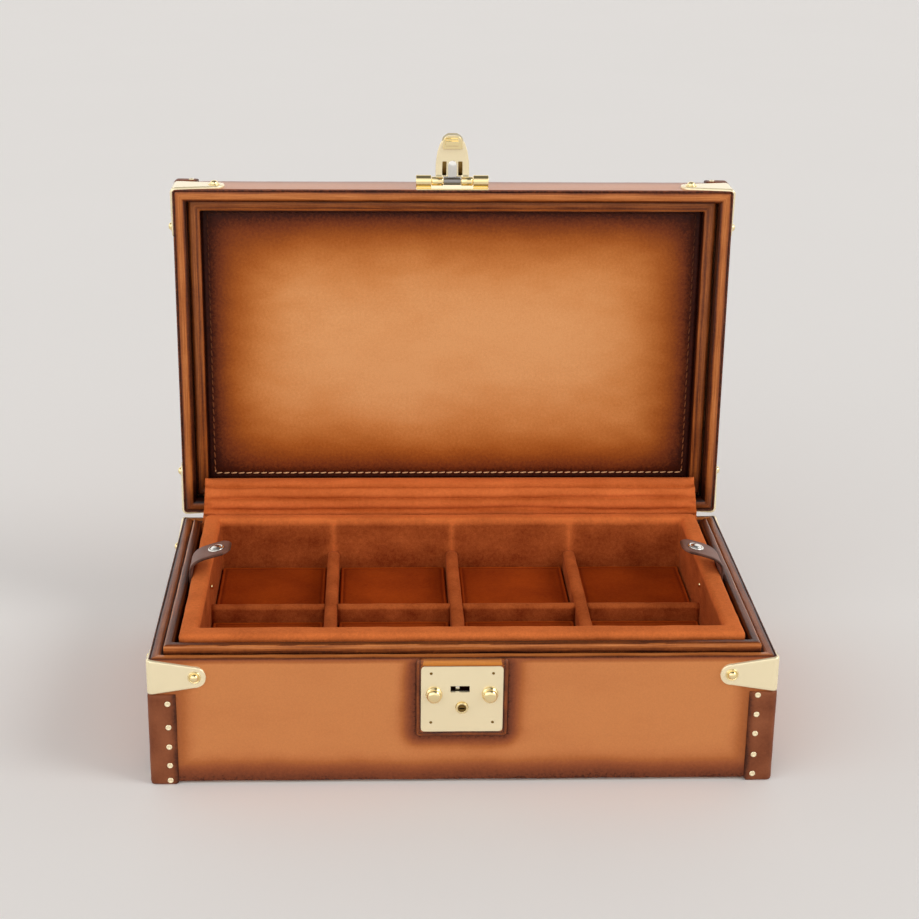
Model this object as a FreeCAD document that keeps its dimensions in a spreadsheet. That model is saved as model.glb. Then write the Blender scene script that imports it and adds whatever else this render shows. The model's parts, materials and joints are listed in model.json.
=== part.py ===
import FreeCAD, Part
import math
import os
import Sketcher
from FreeCAD import Placement, Rotation, Vector

# Watch box in the manner of a travelling trunk: a leather-covered wooden base with a lift-out suede
# tray, and a shallow hinged lid standing open at a right angle.
# Frame: +X to the right, +Y to the back, +Z up; the origin is the centre of the underside.
# Lid parts are drawn in their closed place and then turned about the hinge axis; the hasp is drawn
# latched and is turned once more about its own pin.

DIMENSIONS = [
    ("width", 310, "overall width over the leather"),
    ("depth", 190, "overall depth over the leather"),
    ("base_height", 68.7, "table to base rim"),
    ("lid_height", 25.5, "lid rim to lid top"),
    ("rim_gap", 0.4, "gap between the two rims when closed"),
    ("hinge_back", 1.6, "hinge axis behind the rear face"),
    ("hinge_rise", 0.2, "hinge axis above the base rim"),
    ("leather", 0.8, "thickness of the outer leather"),
    ("board", 6.2, "thickness of the side boards"),
    ("bottom_board", 5.0, "thickness of the bottom board"),
    ("bottom_cover", 1.0, "thickness of the leather under the bottom"),
    ("bottom_inset", 3.0, "bottom cover inside the outer faces"),
    ("foot_gap", 1.2, "outer leather above the table"),
    ("bead_width", 6.4, "width of the rolled rim"),
    ("bead_height", 3.0, "height of the rolled rim"),
    ("bead_round", 1.6, "rounding of the rolled rim"),
    ("liner", 5.0, "thickness of the base liner"),
    ("lip_rise", 4.0, "base liner above the rim, a lip that enters the lid"),
    ("lip_round", 1.2, "rounding of the liner's top edges"),
    ("rear_liner_top", 60.0, "top of the rear liner, under the gusset"),
    ("lid_liner", 7.0, "thickness of the lid liner"),
    ("lid_liner_recess", 9.0, "lid liner inside the lid rim"),
    ("top_board", 3.4, "thickness of the lid's top board"),
    ("panel", 1.8, "thickness of the padded lid panel"),
    ("lining", 1.2, "thickness of the floor lining"),
    ("bearer", 4.0, "thickness of the tray bearers"),
    ("bearer_length", 150, "length of the tray bearers"),
    ("tray_width", 282.4, "tray over its walls"),
    ("tray_front", 80.9, "front of the tray before the centre"),
    ("tray_rear", 82.4, "rear of the tray behind the centre"),
    ("tray_bottom", 38.2, "underside of the tray"),
    ("tray_top", 75.2, "top of the tray walls"),
    ("tray_floor", 3.0, "thickness of the tray's floor board"),
    ("side_wall", 9.2, "thickness of the tray's side walls"),
    ("front_wall", 10.6, "thickness of the tray's front wall"),
    ("rear_wall", 8.1, "thickness of the tray's rear wall"),
    ("wall_round", 1.8, "rounding of the tray's top edges"),
    ("divider", 6.8, "thickness of the long dividers"),
    ("divider_top", 55.4, "top of the long dividers"),
    ("cross_divider", 5.6, "thickness of the cross dividers"),
    ("cross_top", 54.2, "top of the cross dividers"),
    ("divider_round", 2.2, "rounding of the dividers"),
    ("pad", 5.0, "thickness of the compartment pads"),
    ("pad_gap", 0.7, "pad clear of the walls"),
    ("pad_round", 1.0, "rounding of the pads"),
    ("cap_thick", 1.2, "thickness of the brass corners and leather strips"),
    ("cap_height", 18.8, "height of a brass corner at the edge"),
    ("cap_leg", 29.5, "length of a brass corner's leg"),
    ("cap_tip", 5.8, "radius of the leg's rounded end"),
    ("cap_bend", 3.2, "outer bend radius of a corner"),
    ("strip_leg", 14.2, "width of the corner strips"),
    ("rivet_flange", 3.2, "radius of a rivet's flange"),
    ("rivet_rim", 0.5, "thickness of a rivet's flange"),
    ("rivet_head", 2.2, "radius of a rivet's domed head"),
    ("rivet_shank", 1.1, "radius of a rivet's shank"),
    ("rivet_length", 4.6, "length of a rivet's shank"),
    ("nail_head", 1.5, "radius of a nail head at its foot"),
    ("nail_crown", 1.0, "radius of a nail head at its top"),
    ("nail_rise", 0.5, "height of a nail head"),
    ("nail_shank", 0.5, "radius of a nail's shank"),
    ("nail_length", 4.0, "length of a nail's shank"),
    ("screw_head", 1.5, "radius of a screw head at its foot"),
    ("screw_crown", 1.1, "radius of a screw head at its top"),
    ("screw_rise", 0.4, "height of a screw head"),
    ("screw_shank", 0.7, "radius of a screw's shank"),
    ("screw_length", 5.5, "length of a screw's shank"),
    ("nail_inset", 10.1, "nail line from the corner"),
    ("left_nail_1", 2.6, "nail 1 of a left strip above the table"),
    ("left_nail_2", 10.9, "nail 2 of a left strip above the table"),
    ("left_nail_3", 21.3, "nail 3 of a left strip above the table"),
    ("left_nail_4", 32.1, "nail 4 of a left strip above the table"),
    ("left_nail_5", 45.0, "nail 5 of a left strip above the table"),
    ("right_nail_1", 4.1, "nail 1 of a right strip above the table"),
    ("right_nail_2", 14.9, "nail 2 of a right strip above the table"),
    ("right_nail_3", 26.7, "nail 3 of a right strip above the table"),
    ("right_nail_4", 37.4, "nail 4 of a right strip above the table"),
    ("right_nail_5", 48.1, "nail 5 of a right strip above the table"),
    ("lock_shift", -1.0, "centre line of the lock and hasp"),
    ("plate_width", 40.8, "lock plate width"),
    ("plate_height", 35.8, "lock plate height"),
    ("plate_bottom", 28.6, "lower edge of the lock plate"),
    ("plate_thick", 1.6, "lock plate thickness"),
    ("plate_corner", 2.0, "lock plate corner radius"),
    ("slot_shift", -2.0, "centre of the hasp slot"),
    ("slot_level", 51.9, "height of the hasp slot"),
    ("slot_width", 9.4, "hasp slot width"),
    ("slot_height", 3.4, "hasp slot height"),
    ("button_level", 42.0, "height of the push cylinder"),
    ("button_radius", 3.0, "radius of the push cylinder"),
    ("plug_radius", 2.0, "radius of the key plug's bore"),
    ("running_gap", 0.05, "radial clearance of turning parts"),
    ("stud_level", 49.1, "height of the guide studs"),
    ("stud_reach", 13.85, "guide studs from the lock's centre line"),
    ("stud_radius", 4.1, "radius of the guide studs"),
    ("pin_reach", 15.35, "plate pins from the lock's centre line"),
    ("pin_from_low", 5.2, "lower plate pins above the plate's lower edge"),
    ("pin_from_high", 3.8, "upper plate pins below the plate's upper edge"),
    ("pin_radius", 0.6, "radius of the plate pins"),
    ("pin_length", 4.0, "plate pins behind the plate"),
    ("press_fit", 0.1, "how far a driven or seated part stands past its seat"),
    ("button_proud", 1.2, "push cylinder off the plate"),
    ("button_depth", 5.7, "push cylinder behind the plate"),
    ("button_flange", 3.7, "radius of the push cylinder's flange"),
    ("button_flange_thick", 0.8, "thickness of the push cylinder's flange"),
    ("plug_short", 0.5, "key plug shorter than the push cylinder"),
    ("keyway_half", 1.4, "half width of the keyway"),
    ("keyway_rise", 0.35, "half height of the keyway"),
    ("keyway_depth", 6.0, "depth of the keyway"),
    ("catch_back", 2.2, "catch bar behind the front face"),
    ("catch_thick", 1.2, "thickness of the catch bar"),
    ("catch_left", 13, "catch bar left of the lock's centre line"),
    ("catch_right", 7, "catch bar right of the lock's centre line"),
    ("catch_low", 46.0, "underside of the catch bar"),
    ("catch_high", 49.5, "top of the catch bar"),
    ("finger_high", 54.5, "top of the catch finger"),
    ("finger_far", 2.1, "catch finger's left side from the slot's centre"),
    ("finger_near", 0.1, "catch finger's right side from the slot's centre"),
    ("catch_coil", 1.4, "outer radius of the catch spring"),
    ("catch_coil_bore", 0.9, "inner radius of the catch spring"),
    ("push_coil", 2.8, "outer radius of the push spring"),
    ("push_coil_bore", 2.1, "inner radius of the push spring"),
    ("case_half", 17.5, "half width of the lock case"),
    ("case_low", 31.0, "underside of the lock case"),
    ("case_high", 63.0, "top of the lock case"),
    ("case_depth", 9.6, "depth of the lock case"),
    ("case_wall", 0.8, "sheet thickness of the lock case"),
    ("hasp_rise", 4.2, "hasp pin off the leather"),
    ("hasp_up", 5.0, "hasp pin above the lid rim"),
    ("hasp_length", 26.0, "hasp pin to hasp tip"),
    ("hasp_half", 9.3, "half width of the hasp"),
    ("hasp_thick", 1.4, "thickness of the hasp"),
    ("hasp_pin", 1.2, "radius of the hasp pin"),
    ("shoulder_rise", 9.0, "hasp's shoulders above its tip"),
    ("chin_rise", 2.4, "hasp's lower corners above its tip"),
    ("hasp_knuckle", 2.5, "radius of the hasp's knuckles"),
    ("hasp_knuckle_inner", 5.0, "inner face of the hasp's knuckles"),
    ("hasp_knuckle_outer", 11.3, "outer face of the hasp's knuckles"),
    ("slit_inner", 3.3, "inner side of the hasp's slits"),
    ("slit_outer", 5.6, "outer side of the hasp's slits"),
    ("slit_top", 3.2, "upper end of the slits below the pin"),
    ("slit_end", 11.0, "lower end of the slits below the pin"),
    ("coil_notch", 4.9, "half width of the notch for the hasp spring"),
    ("notch_top", 2.5, "upper edge of that notch's relief below the pin"),
    ("notch_end", 2.7, "lower edge of that notch's relief below the pin"),
    ("coil_room", 3.0, "reach of the room cut for the hasp spring"),
    ("coil_half", 4.6, "half length of the hasp spring"),
    ("coil_outer", 0.9, "outside of the hasp spring off the pin"),
    ("coil_inner", 0.1, "inside of the hasp spring off the pin"),
    ("boss_half", 5.3, "half width of the hook's boss"),
    ("boss_rise", 0.5, "hook's boss above the hasp tip"),
    ("boss_height", 7.4, "height of the hook's boss"),
    ("boss_thick", 1.9, "thickness of the hook's boss"),
    ("boss_round", 3.5, "rounding of the boss's lower corners"),
    ("tooth_left", 3.0, "hook's left side from the slot's centre"),
    ("tooth_right", 4.0, "hook's right side from the slot's centre"),
    ("tooth_half", 1.2, "half height of the hook"),
    ("tooth_depth", 4.7, "hook's end behind the front face"),
    ("bite_front", 1.9, "front of the hook's notch behind the front face"),
    ("bite_rear", 3.7, "rear of the hook's notch behind the front face"),
    ("bracket_half", 20.0, "half width of the hasp bracket"),
    ("bracket_thick", 0.8, "thickness of the bracket plate"),
    ("bracket_foot", 0.2, "bracket plate above the lid rim"),
    ("bracket_head", 11.4, "top of the bracket plate above the lid rim"),
    ("web_half", 2.1, "half height of the bracket's webs"),
    ("web_sink", 0.4, "bracket's webs within its plate"),
    ("prong_low", 2.4, "underside of the bracket's prongs above the pin"),
    ("prong_high", 4.4, "top of the bracket's prongs above the pin"),
    ("prong_depth", 6.0, "bracket's prongs behind the front face"),
    ("bracket_inner", 11.6, "inner face of the bracket's barrels"),
    ("barrel_radius", 3.4, "radius of the bracket's barrels"),
    ("hinge_place", 95, "hinge centres from the middle"),
    ("leaf_half", 12, "half length of a hinge leaf"),
    ("leaf_reach", 10.2, "height of a hinge leaf"),
    ("leaf_thick", 0.8, "thickness of a hinge leaf"),
    ("knuckle_half", 3.8, "half length of the middle knuckle"),
    ("knuckle_radius", 1.5, "radius of the hinge knuckles"),
    ("hinge_pin", 0.7, "radius of the hinge pin"),
    ("leaf_clear", 1.7, "hinge leaves off the hinge axis"),
    ("knuckle_gap", 0.2, "gap between hinge knuckles"),
    ("stop_near", 0.7, "near face of the stop behind the hinge axis"),
    ("stop_far", 3.0, "far face of the stop behind the hinge axis"),
    ("stop_low", 0.76, "underside of the stop below the hinge axis"),
    ("stop_high", 0.6, "top of the stop above the hinge axis"),
    ("screw_spread", 8.0, "hinge screws from the middle of a hinge"),
    ("base_screw", 4.0, "base screws above the leaf's end"),
    ("lid_screw", 3.0, "lid screws from the leaf's end"),
    ("tab_thick", 1.3, "thickness of the pull tabs"),
    ("tab_half", 9.5, "half width of the pull tabs"),
    ("tab_place", 2.0, "middle of the pull tabs"),
    ("tab_rise", 1.9, "height of the tabs' bend above the tray wall"),
    ("tab_slope", 27.0, "slope of the tabs above the bend, in degrees"),
    ("tab_reach", 21.1, "how far a tab reaches over the tray"),
    ("tab_gap", 0.1, "tab off the tray wall"),
    ("tab_foot", 0.4, "tab's lower edge above the tray wall's top"),
    ("tab_tip", 4.6, "bevel of the tab's corners"),
    ("root_depth", 15.0, "depth of the tab's riveted root"),
    ("root_gap", 0.2, "root below the tray wall's top"),
    ("tab_rivet_shift", 0.5, "tab rivet before the middle of the tab"),
    ("tab_rivet_drop", 10.0, "tab rivet below the tray wall's top"),
    ("tab_rivet", 0.9, "radius of the tab rivet"),
    ("tab_rivet_head", 1.4, "radius of the tab rivet's head"),
    ("tab_rivet_sink", 0.4, "tab rivet's head let into the wall"),
    ("snap_reach", 14.1, "snap from the tab's root"),
    ("snap_radius", 3.6, "radius of the tab snaps"),
    ("snap_disc", 0.8, "thickness of a snap's disc"),
    ("snap_top", 1.3, "height of a snap"),
    ("snap_button", 2.3, "radius of a snap's button"),
    ("snap_post", 1.2, "radius of a snap's post"),
    ("pad_corner", 1.2, "corner radius of the pads"),
    ("gusset_half", 140.5, "half width of the suede gusset"),
    ("gusset_thick", 1.2, "thickness of the suede gusset"),
    ("gusset_off", 0.7, "gusset's middle off the rear wall and liners"),
    ("gusset_swell", 2.2, "how far the gusset bows forwards above the rim"),
    ("gusset_crest", 21.4, "gusset's highest fold above the base rim"),
]

doc = FreeCAD.newDocument("watch_box")
sheet = doc.addObject("Spreadsheet::Sheet", "dims")
for row, (alias, size, note) in enumerate(DIMENSIONS, start=1):
    sheet.set(f"A{row}", note)
    sheet.set(f"B{row}", str(size))
    sheet.setAlias(f"B{row}", alias)
doc.recompute()


class Dim:
    """A size held both as a number and as an expression on the spreadsheet."""

    def __init__(self, text, value):
        self.text = text
        self.value = value

    def __add__(self, other):
        other = dim(other)
        return Dim(f"({self.text} + {other.text})", self.value + other.value)

    def __radd__(self, other):
        return dim(other) + self

    def __sub__(self, other):
        other = dim(other)
        return Dim(f"({self.text} - {other.text})", self.value - other.value)

    def __rsub__(self, other):
        return dim(other) - self

    def __mul__(self, other):
        other = dim(other)
        return Dim(f"({self.text} * {other.text})", self.value * other.value)

    def __rmul__(self, other):
        return dim(other) * self

    def __truediv__(self, other):
        other = dim(other)
        return Dim(f"({self.text} / {other.text})", self.value / other.value)

    def __neg__(self):
        return Dim(f"(0 - {self.text})", -self.value)


def dim(size):
    if isinstance(size, Dim):
        return size
    return Dim(f"({float(size):.6f})", float(size))


def trig(function, angle):
    """sin, cos or tan of an angle held in degrees."""
    value = getattr(math, function)(math.radians(angle.value))
    return Dim(f"{function}({angle.text} * 1 deg)", value)


class Sizes:
    """Reads the spreadsheet by alias."""

    def __getattr__(self, alias):
        return Dim(f"dims.{alias}", float(sheet.get(alias)))


d = Sizes()
NODES = {}


def bind(target, prop, size):
    target.setExpression(prop, dim(size).text)


def node(name, piece):
    """Names a finished sub-part."""
    piece.Label = name
    NODES[name] = piece
    return piece


def bundle(name, pieces):
    """Several separate solids as one object."""
    group = doc.addObject("Part::Compound", name)
    group.Links = pieces
    return group


# ---------------------------------------------------------------- sketched prisms

NORMAL_SIGN = {"XY": 1, "XZ": -1, "YZ": 1}


def origin_plane(body, plane):
    return next(f for f in body.Origin.OriginFeatures if f.Role == plane + "_Plane")


def add_outline(sketch, points):
    """Closed polygon whose corners are tied to the sketch origin."""
    corners = [(dim(u), dim(v)) for u, v in points]
    first = sketch.GeometryCount
    total = len(corners)
    for i, (u, v) in enumerate(corners):
        after_u, after_v = corners[(i + 1) % total]
        start = Vector(u.value, v.value, 0)
        end = Vector(after_u.value, after_v.value, 0)
        sketch.addGeometry(Part.LineSegment(start, end), False)
    for i, (u, v) in enumerate(corners):
        line, before = first + i, first + (i - 1) % total
        sketch.addConstraint(Sketcher.Constraint("Coincident", before, 2, line, 1))
        for kind, size in (("DistanceX", u), ("DistanceY", v)):
            index = sketch.addConstraint(Sketcher.Constraint(kind, -1, 1, line, 1, size.value))
            bind(sketch, f"Constraints[{index}]", size)


def add_circle(sketch, u, v, radius):
    """Circle tied to the sketch origin."""
    u, v, radius = dim(u), dim(v), dim(radius)
    circle = Part.Circle(Vector(u.value, v.value, 0), Vector(0, 0, 1), radius.value)
    curve = sketch.addGeometry(circle, False)
    for kind, size in (("DistanceX", u), ("DistanceY", v)):
        index = sketch.addConstraint(Sketcher.Constraint(kind, -1, 1, curve, 3, size.value))
        bind(sketch, f"Constraints[{index}]", size)
    index = sketch.addConstraint(Sketcher.Constraint("Radius", curve, radius.value))
    bind(sketch, f"Constraints[{index}]", radius)


def prism(name, plane, outlines, span, circles=()):
    """Body padded from outlines on an origin plane between two levels of the third axis."""
    low, high = dim(span[0]), dim(span[1])
    body = doc.addObject("PartDesign::Body", name)
    sketch = body.newObject("Sketcher::SketchObject", name + "_sketch")
    sketch.AttachmentSupport = [(origin_plane(body, plane), "")]
    sketch.MapMode = "FlatFace"
    start = low if NORMAL_SIGN[plane] > 0 else -high
    bind(sketch, "AttachmentOffset.Base.z", start)
    for points in outlines:
        add_outline(sketch, points)
    for u, v, radius in circles:
        add_circle(sketch, u, v, radius)
    pad = body.newObject("PartDesign::Pad", name + "_pad")
    pad.Profile = sketch
    bind(pad, "Length", high - low)
    doc.recompute()
    return body


def rectangle(u, v):
    return [(u[0], v[0]), (u[1], v[0]), (u[1], v[1]), (u[0], v[1])]


def along(edge, axis):
    """True for a straight edge parallel to a unit axis."""
    ends = edge.Vertexes
    if len(ends) < 2:
        return False
    run = ends[1].Point - ends[0].Point
    return run.Length > 1e-6 and abs(run.dot(axis)) / run.Length > 0.999


def soften(body, radius, chosen):
    """Rounds the edges of a body that the test picks out."""
    before = body.Tip
    names = [f"Edge{i}" for i, edge in enumerate(before.Shape.Edges, start=1) if chosen(edge)]
    fillet = body.newObject("PartDesign::Fillet", body.Name + "_fillet")
    fillet.Base = (before, names)
    bind(fillet, "Radius", radius)
    body.Tip = fillet
    doc.recompute()
    return body


def at_level(level):
    level = dim(level).value
    return lambda edge: all(abs(v.Point.z - level) < 1e-6 for v in edge.Vertexes)


def slab(name, x, y, z, top=None, corners=None, bottom=None):
    """Rectangular block, with rounded top, bottom or upright edges where asked."""
    body = prism(name, "XY", [rectangle(x, y)], z)
    if corners is not None:
        soften(body, corners, lambda edge: along(edge, Vector(0, 0, 1)))
    if top is not None:
        soften(body, top, at_level(z[1]))
    if bottom is not None:
        soften(body, bottom, at_level(z[0]))
    return body


# ---------------------------------------------------------------- round primitives

TURNS = {
    "x": Rotation(Vector(0, 1, 0), 90),
    "y": Rotation(Vector(1, 0, 0), -90),
    "z": Rotation(),
}
FACING = {
    "front": Rotation(Vector(1, 0, 0), 90),
    "rear": Rotation(Vector(1, 0, 0), -90),
    "left": Rotation(Vector(0, 1, 0), -90),
    "right": Rotation(Vector(0, 1, 0), 90),
}


def put(piece, place, rotation=None):
    """Sets a piece down at a bound place."""
    if rotation is not None:
        piece.Placement = Placement(Vector(0, 0, 0), rotation)
    for letter, size in zip("xyz", place):
        bind(piece, f"Placement.Base.{letter}", size)
    return piece


def rod(name, axis, centre, span, radius):
    """Cylinder along an axis; centre gives the other two coordinates in order."""
    low, high = dim(span[0]), dim(span[1])
    piece = doc.addObject("Part::Cylinder", name)
    bind(piece, "Radius", radius)
    bind(piece, "Height", high - low)
    place = list(centre)
    place.insert("xyz".index(axis), low)
    return put(piece, place, TURNS[axis])


def box(name, x, y, z):
    piece = doc.addObject("Part::Box", name)
    for prop, span in (("Length", x), ("Width", y), ("Height", z)):
        bind(piece, prop, dim(span[1]) - span[0])
    return put(piece, (x[0], y[0], z[0]))


def cut(name, base, tool):
    piece = doc.addObject("Part::Cut", name)
    piece.Base = base
    piece.Tool = tool
    return piece


def fuse(name, pieces):
    piece = doc.addObject("Part::MultiFuse", name)
    piece.Shapes = pieces
    return piece


def tube(name, axis, centre, span, outer, inner):
    whole = rod(name + "_outer", axis, centre, span, outer)
    bore = rod(name + "_bore", axis, centre, span, inner)
    return cut(name, whole, bore)


def mirror(name, piece, normal):
    image = doc.addObject("Part::Mirroring", name)
    image.Source = piece
    image.Normal = normal
    return image


def dome(name, radius):
    """Half ball on its flat side."""
    ball = doc.addObject("Part::Sphere", name)
    bind(ball, "Radius", radius)
    ball.Angle1 = 0
    return ball


def fasteners(name, template, spots):
    """Copies of one fastener, each facing out of the wall it is driven into."""
    copies = []
    for i, (face, place) in enumerate(spots, start=1):
        copies.append(put(bundle(f"{name}_{i}", [template]), place, FACING[face]))
    return bundle(name, copies)


# ---------------------------------------------------------------- levels and poses

right = d.width / 2
rear = d.depth / 2
rim = d.base_height
bead_low = rim - d.bead_height
board_in = d.leather + d.board
inner_right = right - board_in
inner_rear = rear - board_in
floor = d.bottom_cover + d.bottom_board
well_right = inner_right - d.liner
well_rear = inner_rear - d.liner
cap_right = right + d.cap_thick
cap_rear = rear + d.cap_thick
axis_y = rear + d.hinge_back
axis_z = rim + d.hinge_rise
lid_rim = rim + d.rim_gap
lid_bead_top = lid_rim + d.bead_height
lid_top = lid_rim + d.lid_height
ceiling = lid_top - d.leather - d.top_board
panel_face = ceiling - d.panel
hasp_y = -rear - d.hasp_rise
hasp_z = lid_rim + d.hasp_up
SIDES = (-1, 1)


def span_at(sign, inner, outer):
    """Interval between two distances from the middle, on the chosen side."""
    if sign > 0:
        return (dim(inner), dim(outer))
    return (-dim(outer), -dim(inner))


def open_lid(piece):
    """Turns a lid piece from closed to standing open."""
    return put(piece, (0, axis_y - axis_z, axis_z + axis_y), Rotation(Vector(1, 0, 0), -90))


def open_hasp(piece):
    """Turns a hasp piece from latched to standing out from the open lid."""
    place = (0, hasp_y + hasp_z + axis_y - axis_z, hasp_z - hasp_y + axis_y + axis_z)
    return put(piece, place, Rotation(Vector(1, 0, 0), 180))


def wall_ring(name, half_x, half_y, thick, z, top=None, bottom=None):
    """Four butted strips round a rectangle: two long ones and two between them."""
    pieces = []
    for sign, word in ((-1, "front"), (1, "rear")):
        span = span_at(sign, half_y - thick, half_y)
        pieces.append(slab(f"{name}_{word}", (-half_x, half_x), span, z, top, None, bottom))
    for sign, word in ((-1, "left"), (1, "right")):
        span = span_at(sign, half_x - thick, half_x)
        ends = (thick - half_y, half_y - thick)
        pieces.append(slab(f"{name}_{word}", span, ends, z, top, None, bottom))
    return pieces


# ---------------------------------------------------------------- base: boards, covers, liners


def lock_hollow(name, y):
    """Room for the lock case."""
    x = (d.lock_shift - d.case_half, d.lock_shift + d.case_half)
    return box(name, x, y, (d.case_low, d.case_high))


def build_base_boards():
    half = right - d.leather
    deep = rear - d.leather
    z = (d.foot_gap, bead_low)
    front = box("front_board_blank", (-half, half), (-deep, -inner_rear), z)
    hollow = lock_hollow("front_board_hollow", (-deep, -inner_rear))
    node("base_front_board", cut("front_board", front, hollow))
    node("base_rear_board", box("rear_board", (-half, half), (inner_rear, deep), z))
    for sign, word in ((-1, "left"), (1, "right")):
        x = span_at(sign, inner_right, half)
        node(f"base_{word}_board", box(f"{word}_board", x, (-inner_rear, inner_rear), z))
    x, y = (-inner_right, inner_right), (-inner_rear, inner_rear)
    node("base_bottom_board", box("bottom_board", x, y, (d.bottom_cover, floor)))


def build_base_covers():
    inset_x, inset_y = right - d.bottom_inset, rear - d.bottom_inset
    x, y = (-inset_x, inset_x), (-inset_y, inset_y)
    node("base_bottom_cover", slab("bottom_cover", x, y, (0, d.bottom_cover)))
    outer = rectangle((-right, right), (-rear, rear))
    half, deep = right - d.leather, rear - d.leather
    inner = rectangle((-half, half), (-deep, deep))
    skin = prism("base_skin", "XY", [outer, inner], (d.foot_gap, bead_low))
    margin = d.leather
    x = (d.lock_shift - d.plate_width / 2 - margin, d.lock_shift + d.plate_width / 2 + margin)
    window = box("base_skin_window", x, (-rear, -deep), (d.plate_bottom - margin, bead_low))
    node("base_leather_cover", cut("base_cover", skin, window))
    bead = wall_ring("base_bead", right, rear, d.bead_width, (bead_low, rim), top=d.bead_round)
    node("base_rim_bead", bundle("base_bead", bead))


def build_base_liners():
    top = rim + d.lip_rise
    x = (-inner_right, inner_right)
    front = slab("front_liner_blank", x, (-inner_rear, -well_rear), (floor, top), top=d.lip_round)
    reach = d.leather + d.case_depth - rear
    hollow = lock_hollow("front_liner_hollow", (-inner_rear, reach))
    pieces = [cut("front_liner", front, hollow)]
    pieces.append(box("rear_liner", x, (well_rear, inner_rear), (floor, d.rear_liner_top)))
    for sign, word in ((-1, "left"), (1, "right")):
        span = span_at(sign, well_right, inner_right)
        run, z = (-well_rear, well_rear), (floor, top)
        pieces.append(slab(f"{word}_liner", span, run, z, top=d.lip_round))
    node("base_liner_frame", bundle("base_liners", pieces))
    x, y = (-well_right, well_right), (-well_rear, well_rear)
    node("floor_lining", box("lining_card", x, y, (floor, floor + d.lining)))
    bearers = []
    for sign, word in ((-1, "left"), (1, "right")):
        span = span_at(sign, well_right - d.bearer, well_right)
        run = (-d.bearer_length / 2, d.bearer_length / 2)
        z = (floor + d.lining, d.tray_bottom)
        bearers.append(box(f"{word}_bearer", span, run, z))
    node("tray_bearers", bundle("bearers", bearers))


# ---------------------------------------------------------------- brass corners, strips, fasteners


def corner_column(name, leg, z):
    """L-shaped column on the right rear edge, with a rounded outer corner."""
    in_x, in_y = cap_right - leg, cap_rear - leg
    outline = [
        (in_x, rear),
        (right, rear),
        (right, in_y),
        (cap_right, in_y),
        (cap_right, cap_rear),
        (in_x, cap_rear),
    ]
    column = prism(name + "_column", "XY", [outline], z)

    def at_corner(edge):
        point = edge.Vertexes[0].Point
        near = math.hypot(point.x - cap_right.value, point.y - cap_rear.value) < 1e-6
        return near and along(edge, Vector(0, 0, 1))

    return soften(column, d.cap_bend, at_corner)


ROUND_END_CHORD = 0.42  # share of the end radius taken by each chord of a round end


def build_corner_cap(low):
    """Right rear brass corner: two tapering legs with round ends, bent round the edge."""
    middle = low + d.cap_height / 2
    high = low + d.cap_height

    def leg(outer):
        """Outline of a leg; the round end is drawn with chords."""
        end = outer - d.cap_leg + d.cap_tip
        tip_low, tip_high = middle - d.cap_tip, middle + d.cap_tip
        shoulder = outer - d.cap_leg
        chord = d.cap_tip * ROUND_END_CHORD
        return [
            (outer, low),
            (outer, high),
            (end, tip_high),
            (shoulder + chord, tip_high - chord / 2),
            (shoulder, middle + chord),
            (shoulder, middle - chord),
            (shoulder + chord, tip_low + chord / 2),
            (end, tip_low),
        ]

    column = corner_column("cap", d.cap_leg, (low, high))
    across = prism("cap_rear_profile", "XZ", [leg(cap_right)], (rear - d.cap_leg, cap_rear))
    along_side = prism("cap_side_profile", "YZ", [leg(cap_rear)], (right - d.cap_leg, cap_right))
    cap = doc.addObject("Part::MultiCommon", "cap")
    cap.Shapes = [column, across, along_side]
    return cap


def corner_pairs(name, corner):
    """The rear pair and the front pair made from the right rear corner."""
    rear_pair = [corner, mirror(name + "_rear_left", corner, Vector(1, 0, 0))]
    front_pair = [
        mirror(f"{name}_front_{i}", piece, Vector(0, 1, 0)) for i, piece in enumerate(rear_pair)
    ]
    return bundle(name + "_rear_pair", rear_pair), bundle(name + "_front_pair", front_pair)


def build_corner_strips(name, z):
    """Four L-shaped leather strips on the upright edges."""
    strip = corner_column(name, d.strip_leg, z)
    return bundle(name, list(corner_pairs(name, strip)))


def taper(name, foot, top, height):
    cone = doc.addObject("Part::Cone", name)
    bind(cone, "Radius1", foot)
    bind(cone, "Radius2", top)
    bind(cone, "Height", height)
    return cone


def rivet_template():
    flange = rod("rivet_flange", "z", (0, 0), (0, d.rivet_rim), d.rivet_flange)
    head = dome("rivet_dome", d.rivet_head)
    shank = rod("rivet_shank", "z", (0, 0), (-d.rivet_length, 0), d.rivet_shank)
    return fuse("rivet", [flange, head, shank])


def nail_template():
    head = taper("nail_head", d.nail_head, d.nail_crown, d.nail_rise)
    shank = rod("nail_shank", "z", (0, 0), (-d.nail_length, 0), d.nail_shank)
    return fuse("nail", [head, shank])


def screw_template():
    head = taper("screw_head", d.screw_head, d.screw_crown, d.screw_rise)
    shank = rod("screw_shank", "z", (0, 0), (-d.screw_length, 0), d.screw_shank)
    return fuse("screw", [head, shank])


def corner_spots(inset, out_x, out_y, levels, sides=SIDES):
    """Two spots at each corner and level: one on the long face and one on the short face."""
    spots = []
    for level in levels:
        for sx in sides:
            for sy in SIDES:
                long_face = "rear" if sy > 0 else "front"
                short_face = "right" if sx > 0 else "left"
                spots.append((long_face, (sx * (out_x - inset), sy * out_y, level)))
                spots.append((short_face, (sx * out_x, sy * (out_y - inset), level)))
    return spots


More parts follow.
